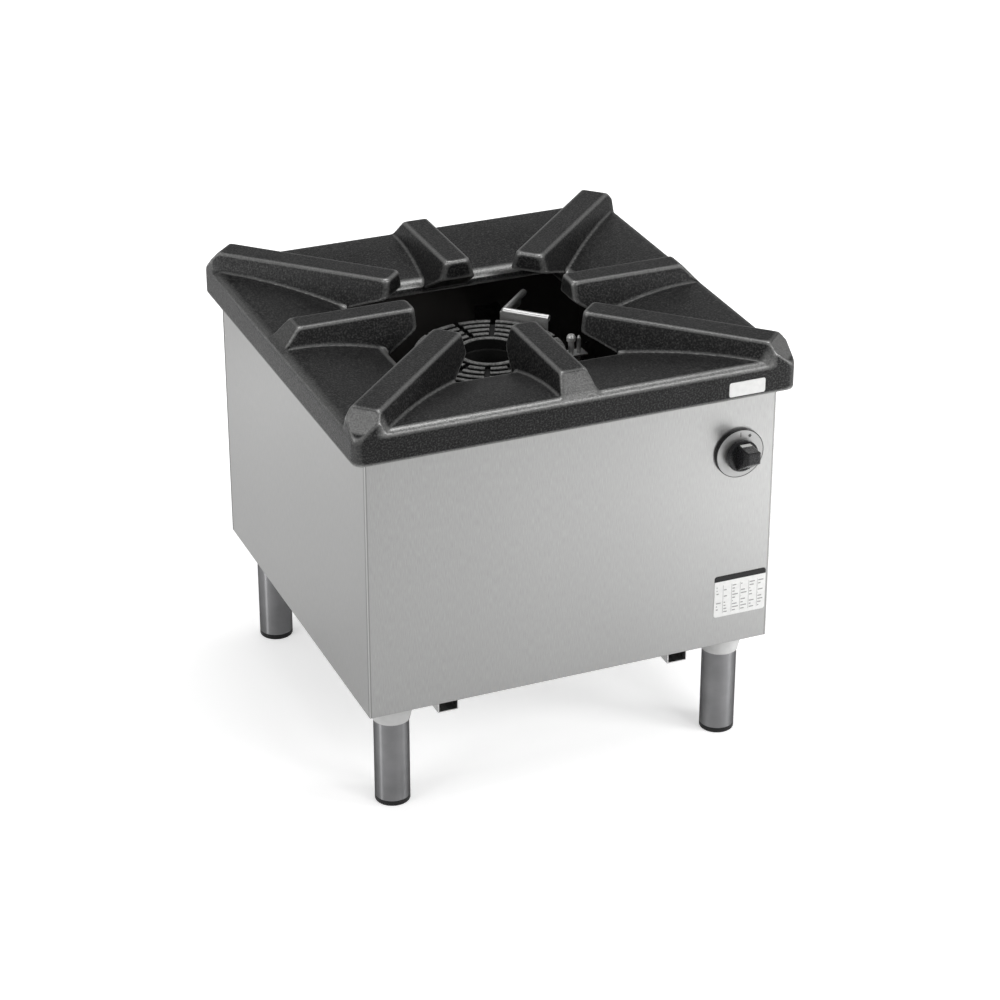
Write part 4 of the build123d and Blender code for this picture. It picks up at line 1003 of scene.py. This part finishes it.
tree, given, result = node_tree_with("screw_rows", {
    "Rows apart": "NodeSocketFloat",
    "Row length": "NodeSocketFloat",
    "Screws in a row": "NodeSocketInt",
    "Middle": "NodeSocketVector",
})
holes = tree.nodes.new("GeometryNodeMeshGrid")
holes.inputs["Vertices X"].default_value = 2
tree.links.new(given["Rows apart"], holes.inputs["Size X"])
tree.links.new(given["Row length"], holes.inputs["Size Y"])
tree.links.new(given["Screws in a row"], holes.inputs["Vertices Y"])
upright = tree.nodes.new("GeometryNodeTransform")
upright.inputs["Rotation"].default_value = (math.pi / 2, 0, 0)
tree.links.new(holes.outputs["Mesh"], upright.inputs["Geometry"])
tree.links.new(given["Middle"], upright.inputs["Translation"])
driven = tree.nodes.new("GeometryNodeInstanceOnPoints")
tree.links.new(upright.outputs["Geometry"], driven.inputs["Points"])
tree.links.new(given["Geometry"], driven.inputs["Instance"])
end_tree(tree, driven.outputs["Instances"], bolt_zinc, result)
screws = pan_head("back_screws", radius=0.005, height=0.0025)
grow(screws, tree, {
    "Rows apart": 0.572,
    "Row length": 0.303,
    "Screws in a row": 3,
    "Middle": (0, 0.3, 0.3765),
})
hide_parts("back_panel_screws")
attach(screws, "body")


# Studio: a wide pale floor in a white room, large soft lamps, and a long lens at
# the photograph's viewing angle.
FLOOR_HALF = 30


def ray_shares(tree, in_mirrors):
    """1 for a ray that looks at the backdrop, and the share that a mirrored ray is shown."""
    rays = tree.nodes.new("ShaderNodeLightPath").outputs
    looked_at = sum_up(tree, "MAXIMUM", rays["Is Camera Ray"], rays["Is Transmission Ray"])
    mirrored = sum_up(tree, "MULTIPLY", rays["Is Glossy Ray"], in_mirrors)
    return looked_at, mirrored


floor = bpy.data.objects.new("floor", bpy.data.meshes.new("floor"))
bpy.context.scene.collection.objects.link(floor)
shape = bmesh.new()
bmesh.ops.create_grid(shape, x_segments=1, y_segments=1, size=FLOOR_HALF)
shape.to_mesh(floor.data)
shape.free()
floor_white = bpy.data.materials.new("floor_white")
floor_white.use_nodes = True
tree = floor_white.node_tree
tree.nodes.clear()
matt = tree.nodes.new("ShaderNodeBsdfDiffuse")
matt.inputs["Color"].default_value = (0.8, 0.8, 0.8, 1)
glow = tree.nodes.new("ShaderNodeEmission")
place = tree.nodes.new("ShaderNodeTexCoord")
away = vector_step(tree, "LENGTH", place.outputs["Object"])
paler_away = between(tree, away, 0.45, 1.6, 0.48, 0.88)
looked_at, mirrored = ray_shares(tree, in_mirrors=0.2)
direct = sum_up(tree, "MULTIPLY", looked_at, paler_away)
tree.links.new(sum_up(tree, "MAXIMUM", direct, mirrored), glow.inputs["Strength"])
both = tree.nodes.new("ShaderNodeAddShader")
tree.links.new(matt.outputs[0], both.inputs[0])
tree.links.new(glow.outputs[0], both.inputs[1])
surface = tree.nodes.new("ShaderNodeOutputMaterial")
tree.links.new(both.outputs[0], surface.inputs["Surface"])
floor.data.materials.append(floor_white)

world = bpy.data.worlds.new("studio")
bpy.context.scene.world = world
world.use_nodes = True
tree = world.node_tree
air = tree.nodes["Background"]
air.inputs["Color"].default_value = (1, 1, 1, 1)
looked_at, mirrored = ray_shares(tree, in_mirrors=0.11)
seen = sum_up(tree, "MAXIMUM", looked_at, mirrored)
tree.links.new(between(tree, seen, 0, 1, 0.3, 1.0), air.inputs["Strength"])


def softbox(name, place, aim, width, height, power):
    """A rectangular lamp at a place, turned to face a point."""
    lamp = bpy.data.lights.new(name, "AREA")
    lamp.shape = "RECTANGLE"
    lamp.size = width
    lamp.size_y = height
    lamp.energy = power
    stand = bpy.data.objects.new(name, lamp)
    stand.location = place
    stand.rotation_euler = (Vector(aim) - Vector(place)).to_track_quat("-Z", "Y").to_euler()
    stand.visible_camera = False
    bpy.context.scene.collection.objects.link(stand)


softbox("overhead", place=(0.25, 0.5, 3.1), aim=(0, 0, 0.5), width=1.9, height=1.9, power=40)
softbox("key", place=(1.1, -2.6, 2.0), aim=(0, -0.2, 0.55), width=0.9, height=0.9, power=23)
softbox("fill", place=(-2.6, -1.1, 2.0), aim=(-0.2, 0, 0.5), width=0.9, height=0.9, power=17)
softbox("strip", place=(-3.0, -0.3, 0.5), aim=(-0.3, -0.2, 0.2), width=0.2, height=0.95, power=26)
softbox("low_right", place=(1.05, -1.0, 0.5), aim=(0.7, -0.8, 0), width=0.4, height=0.4, power=9.5)
softbox("low_left", place=(-0.95, 1.15, 0.36), aim=(-0.7, 0.9, 0), width=0.4, height=0.4, power=1.3)

lens = bpy.data.cameras.new("camera")
lens.lens = 105.3
lens.sensor_width = 36
lens.clip_end = 100
camera = bpy.data.objects.new("camera", lens)
camera.location = (-1.4435, -3.4974, 2.2363)
aim = Vector((-0.0023, -0.0435, 0.3186)) - camera.location
camera.rotation_euler = aim.to_track_quat("-Z", "Y").to_euler()
bpy.context.scene.collection.objects.link(camera)
bpy.context.scene.camera = camera
bpy.context.scene.view_settings.view_transform = "Standard"
